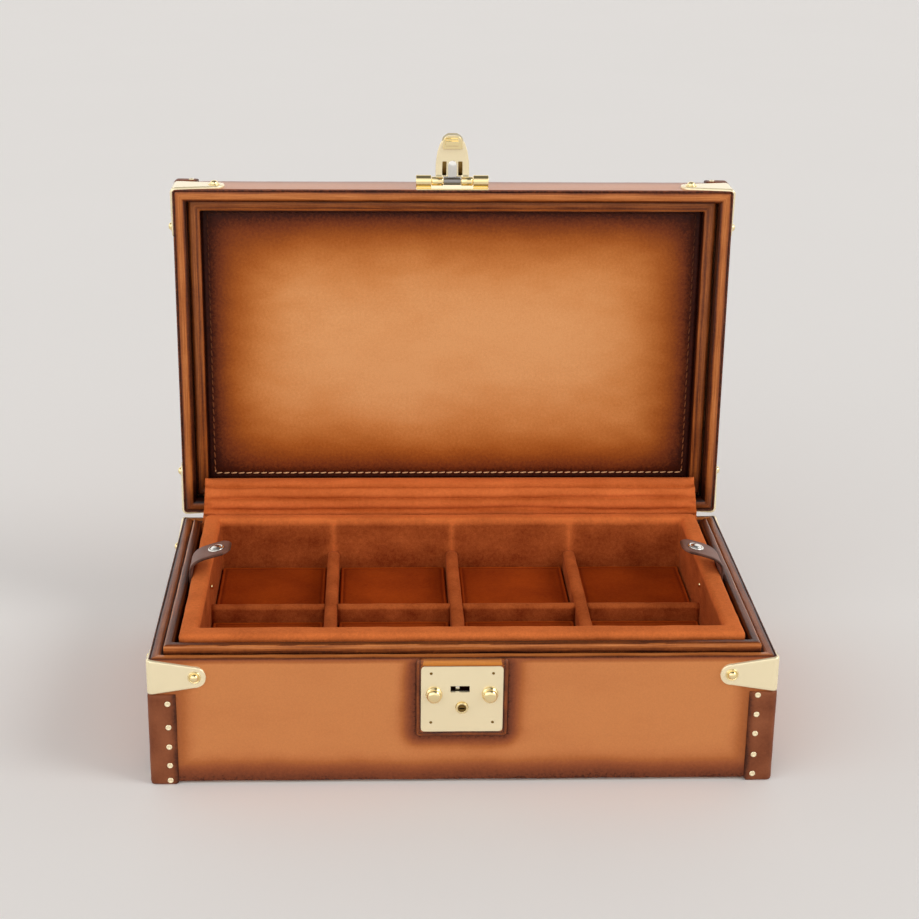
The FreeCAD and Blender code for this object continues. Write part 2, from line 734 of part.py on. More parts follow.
def build_corners():
    corner = build_corner_cap(rim - d.cap_height)
    rear_pair, front_pair = corner_pairs("base_cap", corner)
    node("base_rear_caps", rear_pair)
    node("base_front_caps", front_pair)
    raised = put(bundle("lid_corner", [corner]), (0, 0, lid_rim - (rim - d.cap_height)))
    lid_rear, lid_front = corner_pairs("lid_cap", raised)
    node("lid_rear_caps", open_lid(lid_rear))
    node("lid_front_caps", open_lid(lid_front))

    node("base_corner_strips", build_corner_strips("base_strips", (0, rim - d.cap_height)))
    strips = build_corner_strips("lid_strips", (lid_rim + d.cap_height, lid_top))
    node("lid_corner_strips", open_lid(strips))

    rivet = rivet_template()
    inset = d.cap_leg - d.cap_tip
    spots = corner_spots(inset, cap_right, cap_rear, [rim - d.cap_height / 2])
    node("base_cap_rivets", fasteners("base_rivets", rivet, spots))
    spots = corner_spots(inset, cap_right, cap_rear, [lid_rim + d.cap_height / 2])
    node("lid_cap_rivets", open_lid(fasteners("lid_rivets", rivet, spots)))

    nail = nail_template()
    spots = []
    for sign, word in ((-1, "left"), (1, "right")):
        levels = [getattr(d, f"{word}_nail_{k}") for k in range(1, 6)]
        spots += corner_spots(d.nail_inset, cap_right, cap_rear, levels, (sign,))
    node("base_nails", fasteners("base_nail", nail, spots))
    levels = [(lid_rim + d.cap_height + lid_top) / 2]
    spots = corner_spots(d.nail_inset, cap_right, cap_rear, levels)
    node("lid_nails", open_lid(fasteners("lid_nail", nail, spots)))


# ---------------------------------------------------------------- lock on the base front

plate_back = d.leather - rear
plate_face = plate_back - d.plate_thick
button_face = plate_face - d.button_proud
button_back = plate_back + d.button_depth


def build_lock():
    centre = d.lock_shift
    half = d.plate_width / 2
    high = d.plate_bottom + d.plate_height
    outline = rectangle((centre - half, centre + half), (d.plate_bottom, high))
    slot_x = (d.slot_shift - d.slot_width / 2, d.slot_shift + d.slot_width / 2)
    slot_z = (d.slot_level - d.slot_height / 2, d.slot_level + d.slot_height / 2)
    holes = [(centre, d.button_level, d.button_radius + d.running_gap)]
    outlines = [outline, rectangle(slot_x, slot_z)]
    plate = prism("plate", "XZ", outlines, (plate_face, plate_back), holes)
    edges = (d.plate_bottom.value, high.value)

    def plate_corner(edge):
        level = edge.Vertexes[0].Z
        return along(edge, Vector(0, 1, 0)) and min(abs(level - e) for e in edges) < 1e-6

    soften(plate, d.plate_corner, plate_corner)
    node("lock_plate", plate)

    back = plate_back + d.case_depth
    shell = lock_hollow("case_shell", (plate_back, back))
    x = (centre - d.case_half + d.case_wall, centre + d.case_half - d.case_wall)
    z = (d.case_low + d.case_wall, d.case_high - d.case_wall)
    node("lock_case", cut("case", shell, box("case_room", x, (plate_back, back - d.case_wall), z)))

    studs, pins = [], []
    for sign in SIDES:
        stud = dome(f"stud_{sign + 1}", d.stud_radius)
        place = (centre + sign * d.stud_reach, plate_face, d.stud_level)
        studs.append(put(stud, place, FACING["front"]))
        for level in (d.plate_bottom + d.pin_from_low, high - d.pin_from_high):
            spot = (centre + sign * d.pin_reach, level)
            run = (plate_face - d.press_fit, plate_back + d.pin_length)
            pins.append(rod(f"pin_{len(pins)}", "y", spot, run, d.pin_radius))
    node("lock_studs", bundle("studs", studs))
    node("lock_plate_pins", bundle("plate_pins", pins))

    node("push_cylinder", build_push_cylinder())
    node("key_plug", build_key_plug())
    catch_y = (d.catch_back - rear, d.catch_back + d.catch_thick - rear)
    bar_x = (centre - d.catch_left, centre + d.catch_right)
    bar = box("catch_bar", bar_x, catch_y, (d.catch_low, d.catch_high))
    finger_x = (d.slot_shift - d.finger_far, d.slot_shift - d.finger_near)
    finger = box("catch_finger", finger_x, catch_y, (d.catch_high, d.finger_high))
    node("lock_catch", fuse("catch", [bar, finger]))
    spot = (d.catch_back + d.catch_thick / 2 - rear, (d.catch_low + d.catch_high) / 2)
    run = (centre - d.case_half + d.case_wall, bar_x[0])
    catch_coil = tube("catch_coil", "x", spot, run, d.catch_coil, d.catch_coil_bore)
    spot = (centre, d.button_level)
    run = (button_back, back - d.case_wall)
    push_coil = tube("push_coil", "y", spot, run, d.push_coil, d.push_coil_bore)
    node("lock_springs", bundle("springs", [catch_coil, push_coil]))


def build_push_cylinder():
    spot = (d.lock_shift, d.button_level)
    run = (button_face, button_back)
    body = rod("button_body", "y", spot, run, d.button_radius)
    flange_y = (plate_back + d.press_fit, plate_back + d.press_fit + d.button_flange_thick)
    flange = rod("button_flange", "y", spot, flange_y, d.button_flange)
    bore = rod("button_bore", "y", spot, run, d.plug_radius)
    return cut("button", fuse("button_solid", [body, flange]), bore)


def build_key_plug():
    spot = (d.lock_shift, d.button_level)
    face = button_face - d.press_fit
    radius = d.plug_radius - d.running_gap
    plug = rod("plug_body", "y", spot, (face, button_back - d.plug_short), radius)
    x = (d.lock_shift - d.keyway_half, d.lock_shift + d.keyway_half)
    z = (d.button_level - d.keyway_rise, d.button_level + d.keyway_rise)
    return cut("plug", plug, box("keyway", x, (face, button_face + d.keyway_depth), z))


# ---------------------------------------------------------------- stop hinges


def build_hinges():
    screw = screw_template()
    base_leaves, lid_leaves, pins, base_spots, lid_spots = [], [], [], [], []
    leaf_y = (rear, rear + d.leaf_thick)
    for sign, word in ((-1, "left"), (1, "right")):
        middle = sign * d.hinge_place
        ends = (middle - d.leaf_half, middle + d.leaf_half)
        inner = (middle - d.knuckle_half, middle + d.knuckle_half)
        spot = (axis_y, axis_z)
        pins.append(rod(f"{word}_hinge_pin", "x", spot, ends, d.hinge_pin))

        low = axis_z - d.leaf_reach
        pieces = [box(f"{word}_base_leaf", ends, leaf_y, (low, axis_z - d.leaf_clear))]
        outer_spans = ((ends[0], inner[0] - d.knuckle_gap), (inner[1] + d.knuckle_gap, ends[1]))
        for i, span in enumerate(outer_spans):
            name = f"{word}_base_knuckle_{i}"
            pieces.append(rod(name, "x", spot, span, d.knuckle_radius))
            pieces.append(box(name + "_web", span, leaf_y, (axis_z - d.leaf_clear, axis_z)))
        solid = fuse(f"{word}_base_leaf_solid", pieces)
        bore = rod(f"{word}_base_bore", "x", spot, ends, d.hinge_pin)
        base_leaves.append(cut(f"{word}_base_leaf_cut", solid, bore))

        high = axis_z + d.leaf_reach
        stop_y = (axis_y + d.stop_near, axis_y + d.stop_far)
        stop_z = (axis_z - d.stop_low, axis_z + d.stop_high)
        pieces = [
            box(f"{word}_lid_leaf", ends, leaf_y, (axis_z + d.leaf_clear, high)),
            rod(f"{word}_lid_knuckle", "x", spot, inner, d.knuckle_radius),
            box(f"{word}_lid_web", inner, leaf_y, (axis_z, axis_z + d.leaf_clear)),
            box(f"{word}_stop", inner, stop_y, stop_z),
        ]
        solid = fuse(f"{word}_lid_leaf_solid", pieces)
        bore = rod(f"{word}_lid_bore", "x", spot, inner, d.hinge_pin + d.running_gap)
        lid_leaves.append(cut(f"{word}_lid_leaf_cut", solid, bore))

        for offset in (-d.screw_spread, d.screw_spread):
            base_spots.append(("rear", (middle + offset, leaf_y[1], low + d.base_screw)))
            lid_spots.append(("rear", (middle + offset, leaf_y[1], high - d.lid_screw)))
    node("hinge_pins", bundle("hinge_pin_pair", pins))
    node("hinge_base_leaves", bundle("base_leaf_pair", base_leaves))
    node("hinge_lid_leaves", open_lid(bundle("lid_leaf_pair", lid_leaves)))
    node("hinge_base_screws", fasteners("base_screws", screw, base_spots))
    node("hinge_lid_screws", open_lid(fasteners("lid_screws", screw, lid_spots)))


# ---------------------------------------------------------------- lid


def build_lid_boards():
    half, deep = right - d.leather, rear - d.leather
    z = (lid_bead_top, ceiling)
    front = box("lid_front_blank", (-half, half), (-deep, -inner_rear), z)
    back = box("lid_rear_blank", (-half, half), (inner_rear, deep), z)
    node("lid_front_board", open_lid(bundle("lid_front", [front])))
    node("lid_rear_board", open_lid(bundle("lid_rear", [back])))
    for sign, word in ((-1, "left"), (1, "right")):
        x = span_at(sign, inner_right, half)
        side = box(f"lid_{word}_blank", x, (-inner_rear, inner_rear), z)
        node(f"lid_{word}_board", open_lid(bundle(f"lid_{word}", [side])))
    top = box("lid_top_blank", (-half, half), (-deep, deep), (ceiling, lid_top - d.leather))
    node("lid_top_board", open_lid(bundle("lid_top", [top])))


def build_lid_covers():
    x, y = (-right, right), (-rear, rear)
    outer = slab("lid_skin", x, y, (lid_bead_top, lid_top))
    half, deep = right - d.leather, rear - d.leather
    room = box("lid_skin_room", (-half, half), (-deep, deep), (lid_bead_top, lid_top - d.leather))
    node("lid_leather_cover", open_lid(cut("lid_cover", outer, room)))
    z = (lid_rim, lid_bead_top)
    bead = wall_ring("lid_bead", right, rear, d.bead_width, z, bottom=d.bead_round)
    node("lid_rim_bead", open_lid(bundle("lid_bead", bead)))
    z = (lid_rim + d.lid_liner_recess, panel_face)
    liner = wall_ring("lid_liner", inner_right, inner_rear, d.lid_liner, z)
    node("lid_liner_frame", open_lid(bundle("lid_liner", liner)))
    x, y = (-inner_right, inner_right), (-inner_rear, inner_rear)
    node("lid_panel", open_lid(slab("lid_panel_card", x, y, (panel_face, ceiling))))


def both_sides(inner, outer):
    """Left and right intervals about the lock's centre line."""
    centre = d.lock_shift
    return [(centre - outer, centre - inner), (centre + inner, centre + outer)]


def build_hasp_bracket():
    spot = (hasp_y, hasp_z)
    plate_x = (d.lock_shift - d.bracket_half, d.lock_shift + d.bracket_half)
    plate_z = (lid_rim + d.bracket_foot, lid_rim + d.bracket_head)
    pieces = [box("bracket_plate", plate_x, (-rear - d.bracket_thick, -rear), plate_z)]
    for i, span in enumerate(both_sides(d.bracket_inner, d.bracket_half)):
        pieces.append(rod(f"bracket_barrel_{i}", "x", spot, span, d.barrel_radius))
        web_z = (hasp_z - d.web_half, hasp_z + d.web_half)
        pieces.append(box(f"bracket_web_{i}", span, (hasp_y, -rear - d.web_sink), web_z))
        prong_y = (-rear - d.web_sink, d.prong_depth - rear)
        prong_z = (hasp_z + d.prong_low, hasp_z + d.prong_high)
        pieces.append(box(f"bracket_prong_{i}", span, prong_y, prong_z))
    bore = rod("bracket_bore", "x", spot, plate_x, d.hasp_pin)
    node("hasp_bracket", open_lid(cut("bracket", fuse("bracket_solid", pieces), bore)))
    pin = rod("hasp_pin_rod", "x", spot, plate_x, d.hasp_pin)
    node("hasp_pin", open_lid(bundle("hasp_pin_piece", [pin])))
    run = (d.lock_shift - d.coil_half, d.lock_shift + d.coil_half)
    outer, inner = d.hasp_pin + d.coil_outer, d.hasp_pin + d.coil_inner
    node("hasp_spring", open_lid(tube("hasp_coil", "x", spot, run, outer, inner)))


CHEEK = 0.72  # half width at the hasp's lower corners, as a share of the full half width
CHIN = 0.42  # half width at the hasp's tip


def build_hasp_plate():
    centre, half = d.lock_shift, d.hasp_half
    tip = hasp_z - d.hasp_length
    outline = [
        (centre - half, hasp_z),
        (centre - half, tip + d.shoulder_rise),
        (centre - half * CHEEK, tip + d.chin_rise),
        (centre - half * CHIN, tip),
        (centre + half * CHIN, tip),
        (centre + half * CHEEK, tip + d.chin_rise),
        (centre + half, tip + d.shoulder_rise),
        (centre + half, hasp_z),
    ]
    slit_z = (hasp_z - d.slit_end, hasp_z - d.slit_top)
    slits = [rectangle(x, slit_z) for x in both_sides(d.slit_inner, d.slit_outer)]
    notch_x = (centre - d.coil_notch, centre + d.coil_notch)
    relief = rectangle(notch_x, (hasp_z - d.notch_end, hasp_z - d.notch_top))
    thick = (hasp_y - d.hasp_thick / 2, hasp_y + d.hasp_thick / 2)
    blank = prism("hasp_blade", "XZ", [outline, *slits, relief], thick)
    room_y = (hasp_y - d.coil_room, hasp_y + d.coil_room)
    room_z = (hasp_z - (d.notch_end + d.notch_top) / 2, hasp_z + d.coil_room)
    blade = cut("hasp_blade_cut", blank, box("hasp_room", notch_x, room_y, room_z))
    spot = (hasp_y, hasp_z)
    knuckles = []
    for i, span in enumerate(both_sides(d.hasp_knuckle_inner, d.hasp_knuckle_outer)):
        knuckles.append(rod(f"hasp_knuckle_{i}", "x", spot, span, d.hasp_knuckle))
    solid = fuse("hasp_solid", [blade, *knuckles])
    run = (centre - d.bracket_half, centre + d.bracket_half)
    bore = rod("hasp_bore", "x", spot, run, d.hasp_pin + d.running_gap)
    node("hasp_plate", open_hasp(cut("hasp", solid, bore)))


def build_hasp_hook():
    """Boss behind the hasp, with the notched hook that the catch finger enters."""
    inner_face = hasp_y + d.hasp_thick / 2
    boss_back = inner_face + d.boss_thick
    boss_low = hasp_z - d.hasp_length + d.boss_rise
    boss_x = (d.lock_shift - d.boss_half, d.lock_shift + d.boss_half)
    outline = rectangle(boss_x, (boss_low, boss_low + d.boss_height))
    boss = prism("hook_boss", "XZ", [outline], (inner_face, boss_back))
    level = boss_low.value

    def lower_corner(edge):
        return along(edge, Vector(0, 1, 0)) and abs(edge.Vertexes[0].Z - level) < 1e-6

    soften(boss, d.boss_round, lower_corner)
    left = d.slot_shift - d.tooth_left
    tooth_z = (d.slot_level - d.tooth_half, d.slot_level + d.tooth_half)
    tooth_y = (boss_back, d.tooth_depth - rear)
    tooth = box("hook_tooth", (left, d.slot_shift + d.tooth_right), tooth_y, tooth_z)
    bite_x = (left, d.slot_shift + d.finger_near)
    bite = box("hook_bite", bite_x, (d.bite_front - rear, d.bite_rear - rear), tooth_z)
    node("hasp_hook", open_hasp(cut("hook", fuse("hook_solid", [boss, tooth]), bite)))


# ---------------------------------------------------------------- tray

tray_right = d.tray_width / 2
cell_right = tray_right - d.side_wall
cell_front = d.front_wall - d.tray_front
cell_rear = d.tray_rear - d.rear_wall
deck = d.tray_bottom + d.tray_floor
cell_width = (cell_right * 2 - d.divider * 3) / 4
middle_y = (cell_front + cell_rear) / 2
cross_front = middle_y - d.cross_divider / 2
cross_rear = middle_y + d.cross_divider / 2


def cell_span(column):
    """Left and right faces of one column of compartments, counted from the left."""
    start = (cell_width + d.divider) * column - cell_right
    return (start, start + cell_width)


def build_tray():
    x, y = (-tray_right, tray_right), (-d.tray_front, d.tray_rear)
    node("tray_floor_board", box("tray_board", x, y, (d.tray_bottom, deck)))
    z = (deck, d.tray_top)
    walls = [
        slab("tray_front_wall", x, (-d.tray_front, cell_front), z, top=d.wall_round),
        slab("tray_rear_wall", x, (cell_rear, d.tray_rear), z, top=d.wall_round),
    ]
    for sign, word in ((-1, "left"), (1, "right")):
        span = span_at(sign, cell_right, tray_right)
        walls.append(slab(f"tray_{word}_wall", span, (cell_front, cell_rear), z, top=d.wall_round))
    node("tray_walls", bundle("tray_wall_set", walls))

    dividers = []
    for column in range(3):
        x = (cell_span(column)[1], cell_span(column + 1)[0])
        z = (deck, d.divider_top)
        run = (cell_front, cell_rear)
        dividers.append(slab(f"divider_{column}", x, run, z, top=d.divider_round))
    node("tray_long_dividers", bundle("long_dividers", dividers))

    crosses, pads = [], []
    for column in range(4):
        x = cell_span(column)
        y = (cross_front, cross_rear)
        crosses.append(slab(f"cross_{column}", x, y, (deck, d.cross_top), top=d.divider_round))
        rows = (("front", cell_front, cross_front), ("rear", cross_rear, cell_rear))
        for word, near, far in rows:
            px = (x[0] + d.pad_gap, x[1] - d.pad_gap)
            py = (near + d.pad_gap, far - d.pad_gap)
            name = f"pad_{word}_{column}"
            pz = (deck, deck + d.pad)
            pads.append(slab(name, px, py, pz, top=d.pad_round, corners=d.pad_corner))
    node("tray_cross_dividers", bundle("cross_dividers", crosses))
    node("compartment_pads", bundle("pads", pads))


tab_inner = tray_right + d.tab_gap
tab_outer = tab_inner + d.tab_thick
tab_fold = d.tray_top + d.tab_rise


def build_tab_straps():
    """Leather pull tabs, folded over the top edge of the tray wall."""
    climb = trig("tan", d.tab_slope)
    tip_x = tab_outer - d.tab_reach
    tip_z = tab_fold + d.tab_reach * climb
    under_x = tip_x - d.tab_thick * trig("sin", d.tab_slope)
    under_z = tip_z - d.tab_thick * trig("cos", d.tab_slope)
    outline = [
        (tab_outer, d.tray_top + d.tab_foot),
        (tab_outer, tab_fold),
        (tip_x, tip_z),
        (under_x, under_z),
        (tab_inner, under_z - (tab_inner - under_x) * climb),
    ]
    strap = prism("tab_strap", "XZ", [outline], tab_y())
    before = strap.Tip
    reach = tip_x.value + 1e-6

    def tip_corner(edge):
        across = abs(edge.Vertexes[0].Y - edge.Vertexes[1].Y) < 1e-6
        return across and all(v.X <= reach for v in edge.Vertexes)

    names = [f"Edge{i}" for i, e in enumerate(before.Shape.Edges, start=1) if tip_corner(e)]
    chamfer = strap.newObject("PartDesign::Chamfer", "tab_tip")
    chamfer.Base = (before, names)
    bind(chamfer, "Size", d.tab_tip)
    strap.Tip = chamfer
    node("tab_right", strap)
    node("tab_left", mirror("tab_left_strap", strap, Vector(1, 0, 0)))


def tab_y():
    return (d.tab_place - d.tab_half, d.tab_place + d.tab_half)


def build_tab_roots():
    """Roots glued and riveted to the outer faces of the tray's side walls."""
    x = (tray_right, tab_outer - d.press_fit)
    root = box("tab_root", x, tab_y(), (d.tray_top - d.root_depth, d.tray_top - d.root_gap))
    node("tab_anchors", bundle("tab_roots", [root, mirror("tab_root_left", root, Vector(1, 0, 0))]))
    spot = (d.tab_place - d.tab_rivet_shift, d.tray_top - d.tab_rivet_drop)
    seat = cell_right - d.tab_rivet_sink
    shank = rod("tab_rivet_shank", "x", spot, (seat, tab_outer + d.press_fit), d.tab_rivet)
    head = rod("tab_rivet_cap", "x", spot, (seat, cell_right), d.tab_rivet_head)
    rivet = fuse("tab_rivet", [shank, head])
    pair = [rivet, mirror("tab_rivet_left", rivet, Vector(1, 0, 0))]
    node("tab_rivets", bundle("tab_rivet_pair", pair))


def build_tab_snaps():
    disc = rod("snap_disc", "z", (0, 0), (0, d.snap_disc), d.snap_radius)
    button = rod("snap_button", "z", (0, 0), (d.snap_disc, d.snap_top), d.snap_button)
    post = rod("snap_post", "z", (0, 0), (-d.tab_thick, 0), d.snap_post)
    snap = bundle("snap", [fuse("snap_template", [disc, button, post])])
    height = tab_fold + d.snap_reach * trig("tan", d.tab_slope)
    tilt = Rotation(Vector(0, 1, 0), d.tab_slope.value)
    put(snap, (tab_outer - d.snap_reach, d.tab_place, height), tilt)
    bind(snap, "Placement.Rotation.Angle", d.tab_slope)
    node("tab_snap_right", snap)
    node("tab_snap_left", mirror("snap_left", snap, Vector(1, 0, 0)))


# ---------------------------------------------------------------- gusset over the hinge


def ribbon(centre_line, thick):
    """Outline of a strip of even thickness along a bent centre line."""
    points = [(dim(u), dim(v)) for u, v in centre_line]
    plain = [Vector(u.value, v.value, 0) for u, v in points]
    sides = ([], [])
    for i, (u, v) in enumerate(points):
        runs = [(plain[j + 1] - plain[j]).normalize() for j in (i - 1, i) if 0 <= j < len(plain) - 1]
        heading = sum(runs, Vector(0, 0, 0)).normalize()
        widen = 1 / heading.dot(runs[0])
        for side, sign in zip(sides, SIDES):
            du = -heading.y * widen * sign / 2
            dv = heading.x * widen * sign / 2
            side.append((u + thick * du, v + thick * dv))
    return sides[0] + sides[1][::-1]


def build_gusset():
    """Suede strip from inside the rear wall, over the hinge, to the foot of the lid panel."""
    lid_foot = axis_z + d.hinge_back + board_in + d.lid_liner
    wall = inner_rear - d.gusset_off
    bow = wall - d.gusset_swell
    crest = rim + d.gusset_crest
    line = [
        (wall, d.rear_liner_top + d.gusset_off + 0.1),  # stands just clear of the rear liner
        (wall, rim - 2.4),  # leaves the wall below the rim
        (bow, rim + 5),  # bows forwards above the rim
        (bow + 0.4, rim + 12),  # rises to the first fold
        (wall + 1.6, crest - 3.2),  # leans back towards the lid
        (axis_y - 0.4, crest),  # highest fold, over the hinge axis
        (axis_y + 5.4, crest - 1.2),  # dips towards the lid
        (axis_y + 8.2, lid_foot + d.gusset_off + 0.3),  # meets the lid liner
        (axis_y + 16.0, lid_foot + d.gusset_off + 0.2),  # ends on the lid liner
    ]
    outline = ribbon(line, d.gusset_thick)
    node("hinge_gusset", prism("gusset", "YZ", [outline], (-d.gusset_half, d.gusset_half)))


# ---------------------------------------------------------------- build, check, write

build_base_boards()
build_base_covers()
build_base_liners()
build_corners()
build_lock()
build_hinges()
build_lid_boards()
build_lid_covers()
build_hasp_bracket()
build_hasp_plate()
build_hasp_hook()
build_tray()
build_tab_straps()
build_tab_roots()
build_tab_snaps()
build_gusset()
doc.recompute()

for item in doc.Objects:
    if "Invalid" in item.State or "Error" in item.State:
        raise RuntimeError(f"{item.Name} ({item.Label}) failed: {item.State}")
for name, piece in NODES.items():
    if piece.Shape.isNull() or not piece.Shape.isValid():
        raise RuntimeError(f"{name} has no valid shape")

os.makedirs("parts", exist_ok=True)
for name, piece in NODES.items():
    piece.Shape.exportStep(f"parts/{name}.step")
    print(f"{name}: {len(piece.Shape.Solids)} solids, {piece.Shape.Volume:.0f} mm3")
print(len(NODES), "nodes")
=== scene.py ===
import json
import math

import bmesh
import bpy
from mathutils import Matrix, Vector, noise


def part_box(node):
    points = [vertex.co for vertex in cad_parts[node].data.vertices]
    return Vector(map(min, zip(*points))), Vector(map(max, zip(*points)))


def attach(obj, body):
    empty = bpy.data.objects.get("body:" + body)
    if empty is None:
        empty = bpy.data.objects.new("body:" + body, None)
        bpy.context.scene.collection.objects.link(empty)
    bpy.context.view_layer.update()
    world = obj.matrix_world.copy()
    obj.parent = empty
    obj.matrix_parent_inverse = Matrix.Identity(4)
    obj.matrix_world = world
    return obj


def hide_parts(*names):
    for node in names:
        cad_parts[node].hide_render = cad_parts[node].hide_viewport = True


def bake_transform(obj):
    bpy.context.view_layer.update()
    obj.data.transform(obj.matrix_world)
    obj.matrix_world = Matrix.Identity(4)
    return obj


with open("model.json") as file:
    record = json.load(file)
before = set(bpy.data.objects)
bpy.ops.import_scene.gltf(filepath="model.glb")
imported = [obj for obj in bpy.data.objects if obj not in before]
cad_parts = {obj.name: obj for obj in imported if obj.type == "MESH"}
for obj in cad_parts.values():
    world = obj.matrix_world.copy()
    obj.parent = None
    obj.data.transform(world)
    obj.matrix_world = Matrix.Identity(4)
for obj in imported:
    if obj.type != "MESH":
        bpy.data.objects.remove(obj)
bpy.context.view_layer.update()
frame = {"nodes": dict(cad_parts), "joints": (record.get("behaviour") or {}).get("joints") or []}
MM = 0.001

# ---------------------------------------------------------------- colours and shader helpers


def linear(rgb, gain=1.0):
    """Screen colour from 0 to 255 as linear light."""
    parts = [c / 255 for c in rgb]
    parts = [c / 12.92 if c <= 0.04045 else ((c + 0.055) / 1.055) ** 2.4 for c in parts]
    return (*(min(1.0, c * gain) for c in parts), 1.0)


class Shader:
    """A material under construction: nodes, links and one Principled shader."""

    def __init__(self, name, **values):
        self.material = bpy.data.materials.new(name)
        self.material.use_nodes = True
        tree = self.material.node_tree
        self.nodes, self.links = tree.nodes, tree.links
        self.shader = self.nodes["Principled BSDF"]
        for key, value in values.items():
            self.shader.inputs[key.replace("_", " ")].default_value = value
        self.place = self.nodes.new("ShaderNodeTexCoord").outputs["Object"]

    def join(self, source, target):
        self.links.new(source, target)

    def set(self, socket, source):
        self.links.new(source, self.shader.inputs[socket])

    def stretched(self, scale):
        node = self.nodes.new("ShaderNodeMapping")
        node.inputs["Scale"].default_value = scale
        self.join(self.place, node.inputs["Vector"])
        return node.outputs["Vector"]

    def noise(self, per_metre, detail=4.0, rough=0.55, scale=(1, 1, 1)):
        node = self.nodes.new("ShaderNodeTexNoise")
        node.inputs["Scale"].default_value = per_metre
        node.inputs["Detail"].default_value = detail
        node.inputs["Roughness"].default_value = rough
        self.join(self.stretched(scale), node.inputs["Vector"])
        return node.outputs["Fac"]

    def cells(self, per_metre, feature="F1"):
        node = self.nodes.new("ShaderNodeTexVoronoi")
        node.feature = feature
        node.inputs["Scale"].default_value = per_metre
        self.join(self.place, node.inputs["Vector"])
        return node.outputs["Distance"]

    def attribute(self, name):
        node = self.nodes.new("ShaderNodeAttribute")
        node.attribute_name = name
        return node.outputs["Fac"]

    def along_moulding(self, run, across):
        """Streaky noise that follows a moulding, from its stored run and girth in millimetres."""
        join = self.nodes.new("ShaderNodeCombineXYZ")
        self.join(self.math("MULTIPLY", self.attribute("run"), run), join.inputs[0])
        self.join(self.math("MULTIPLY", self.attribute("girth"), across), join.inputs[1])
        node = self.nodes.new("ShaderNodeTexNoise")
        node.inputs["Scale"].default_value = 1.0
        node.inputs["Detail"].default_value = 5.0
        node.inputs["Roughness"].default_value = 0.6
        self.join(join.outputs[0], node.inputs["Vector"])
        return node.outputs["Fac"]

    def math(self, operation, a, b=0.0, clamp=False):
        node = self.nodes.new("ShaderNodeMath")
        node.operation = operation
        node.use_clamp = clamp
        for i, value in enumerate((a, b)):
            if isinstance(value, (int, float)):
                node.inputs[i].default_value = value
            else:
                self.join(value, node.inputs[i])
        return node.outputs[0]

    def ramp(self, factor, stops, gain=1.0):
        node = self.nodes.new("ShaderNodeValToRGB")
        elements = node.color_ramp.elements
        while len(elements) < len(stops):
            elements.new(0.5)
        for element, (place, colour) in zip(elements, stops):
            element.position = place
            element.color = linear(colour, gain)
        self.join(factor, node.inputs["Fac"])
        return node.outputs["Color"]

    def range(self, factor, low, high):
        node = self.nodes.new("ShaderNodeMapRange")
        node.inputs["To Min"].default_value = low
        node.inputs["To Max"].default_value = high
        self.join(factor, node.inputs["Value"])
        return node.outputs["Result"]

    def tint(self, colour, factor, low, high):
        """Multiplies a colour by a grey that runs from low to high."""
        node = self.nodes.new("ShaderNodeVectorMath")
        node.operation = "SCALE"
        self.join(colour, node.inputs[0])
        self.join(self.range(factor, low, high), node.inputs["Scale"])
        return node.outputs["Vector"]

    def bump(self, height, strength, distance, below=None):
        node = self.nodes.new("ShaderNodeBump")
        node.inputs["Strength"].default_value = strength
        node.inputs["Distance"].default_value = distance
        self.join(height, node.inputs["Height"])
        if below is not None:
            self.join(below, node.inputs["Normal"])
        return node.outputs["Normal"]


# ---------------------------------------------------------------- materials

HIDE_STOPS = [
    (0.0, (195, 124, 72)),
    (0.08, (187, 115, 66)),
    (0.24, (168, 97, 50)),
    (0.4, (152, 84, 46)),
    (0.6, (136, 72, 40)),
    (0.76, (124, 64, 37)),
    (0.92, (106, 54, 32)),
    (1.0, (62, 28, 16)),
]
# the darker stops are painted shade for the panel's shaded edges
PANEL_STOPS = [
    (0.0, (212, 150, 96)),
    (0.05, (203, 136, 80)),
    (0.1, (195, 124, 66)),
    (0.16, (184, 111, 53)),
    (0.22, (174, 100, 42)),
    (0.31, (160, 85, 28)),
    (0.43, (138, 68, 19)),
    (0.56, (117, 53, 18)),
    (0.78, (70, 25, 8)),
    (1.0, (40, 9, 3)),
]
RIM_STOPS = [
    (0.0, (206, 128, 68)),
    (0.3, (172, 96, 40)),
    (0.55, (128, 64, 24)),
    (0.8, (84, 36, 12)),
    (1.0, (38, 12, 5)),
]
STRIP_STOPS = [(0.0, (148, 86, 54)), (0.45, (124, 66, 38)), (1.0, (70, 34, 20))]
TAB_STOPS = [(0.0, (146, 104, 90)), (0.5, (110, 72, 58)), (1.0, (58, 34, 26))]
BRIDGE_STOPS = [(0.0, (226, 140, 44)), (0.5, (178, 98, 24)), (1.0, (72, 30, 8))]


def leather(name, stops, roughness=(0.36, 0.52), cloud=0.12, coat=0.0, speckle=0.3, streaky=0.0, gain=1.25):
    """Hand-burnished leather: the burnish attribute darkens edges and also carries painted shade, broken up
    by cloudy dye.
    """
    s = Shader(name, Coat_Weight=coat, Coat_Roughness=0.3, Specular_IOR_Level=0.16)
    burnish_and_painted_light = s.attribute("burnish_and_painted_light")
    dye = s.range(s.noise(24, 6, 0.6, (0.7, 1, 1.4)), -cloud, cloud)
    fine = s.range(s.noise(620, 4, 0.75), -speckle, speckle)
    grainy = s.math("MULTIPLY", fine, s.math("ADD", s.math("MULTIPLY", burnish_and_painted_light, 0.9), 0.12))
    total = s.math("ADD", s.math("ADD", burnish_and_painted_light, dye), grainy)
    if streaky:
        total = s.math("ADD", total, s.range(s.along_moulding(0.035, 1.3), -streaky, streaky))
    colour = s.ramp(s.math("ADD", total, 0.0, clamp=True), stops, gain)
    pores = s.noise(1500, 5, 0.72)
    s.set("Base Color", s.tint(colour, pores, 0.84, 1.14))
    s.set("Roughness", s.range(s.noise(260, 4), *roughness))
    grain = s.bump(s.cells(850), 0.3, 0.00014)
    s.set("Normal", s.bump(pores, 0.32, 0.00012, grain))
    return s.material


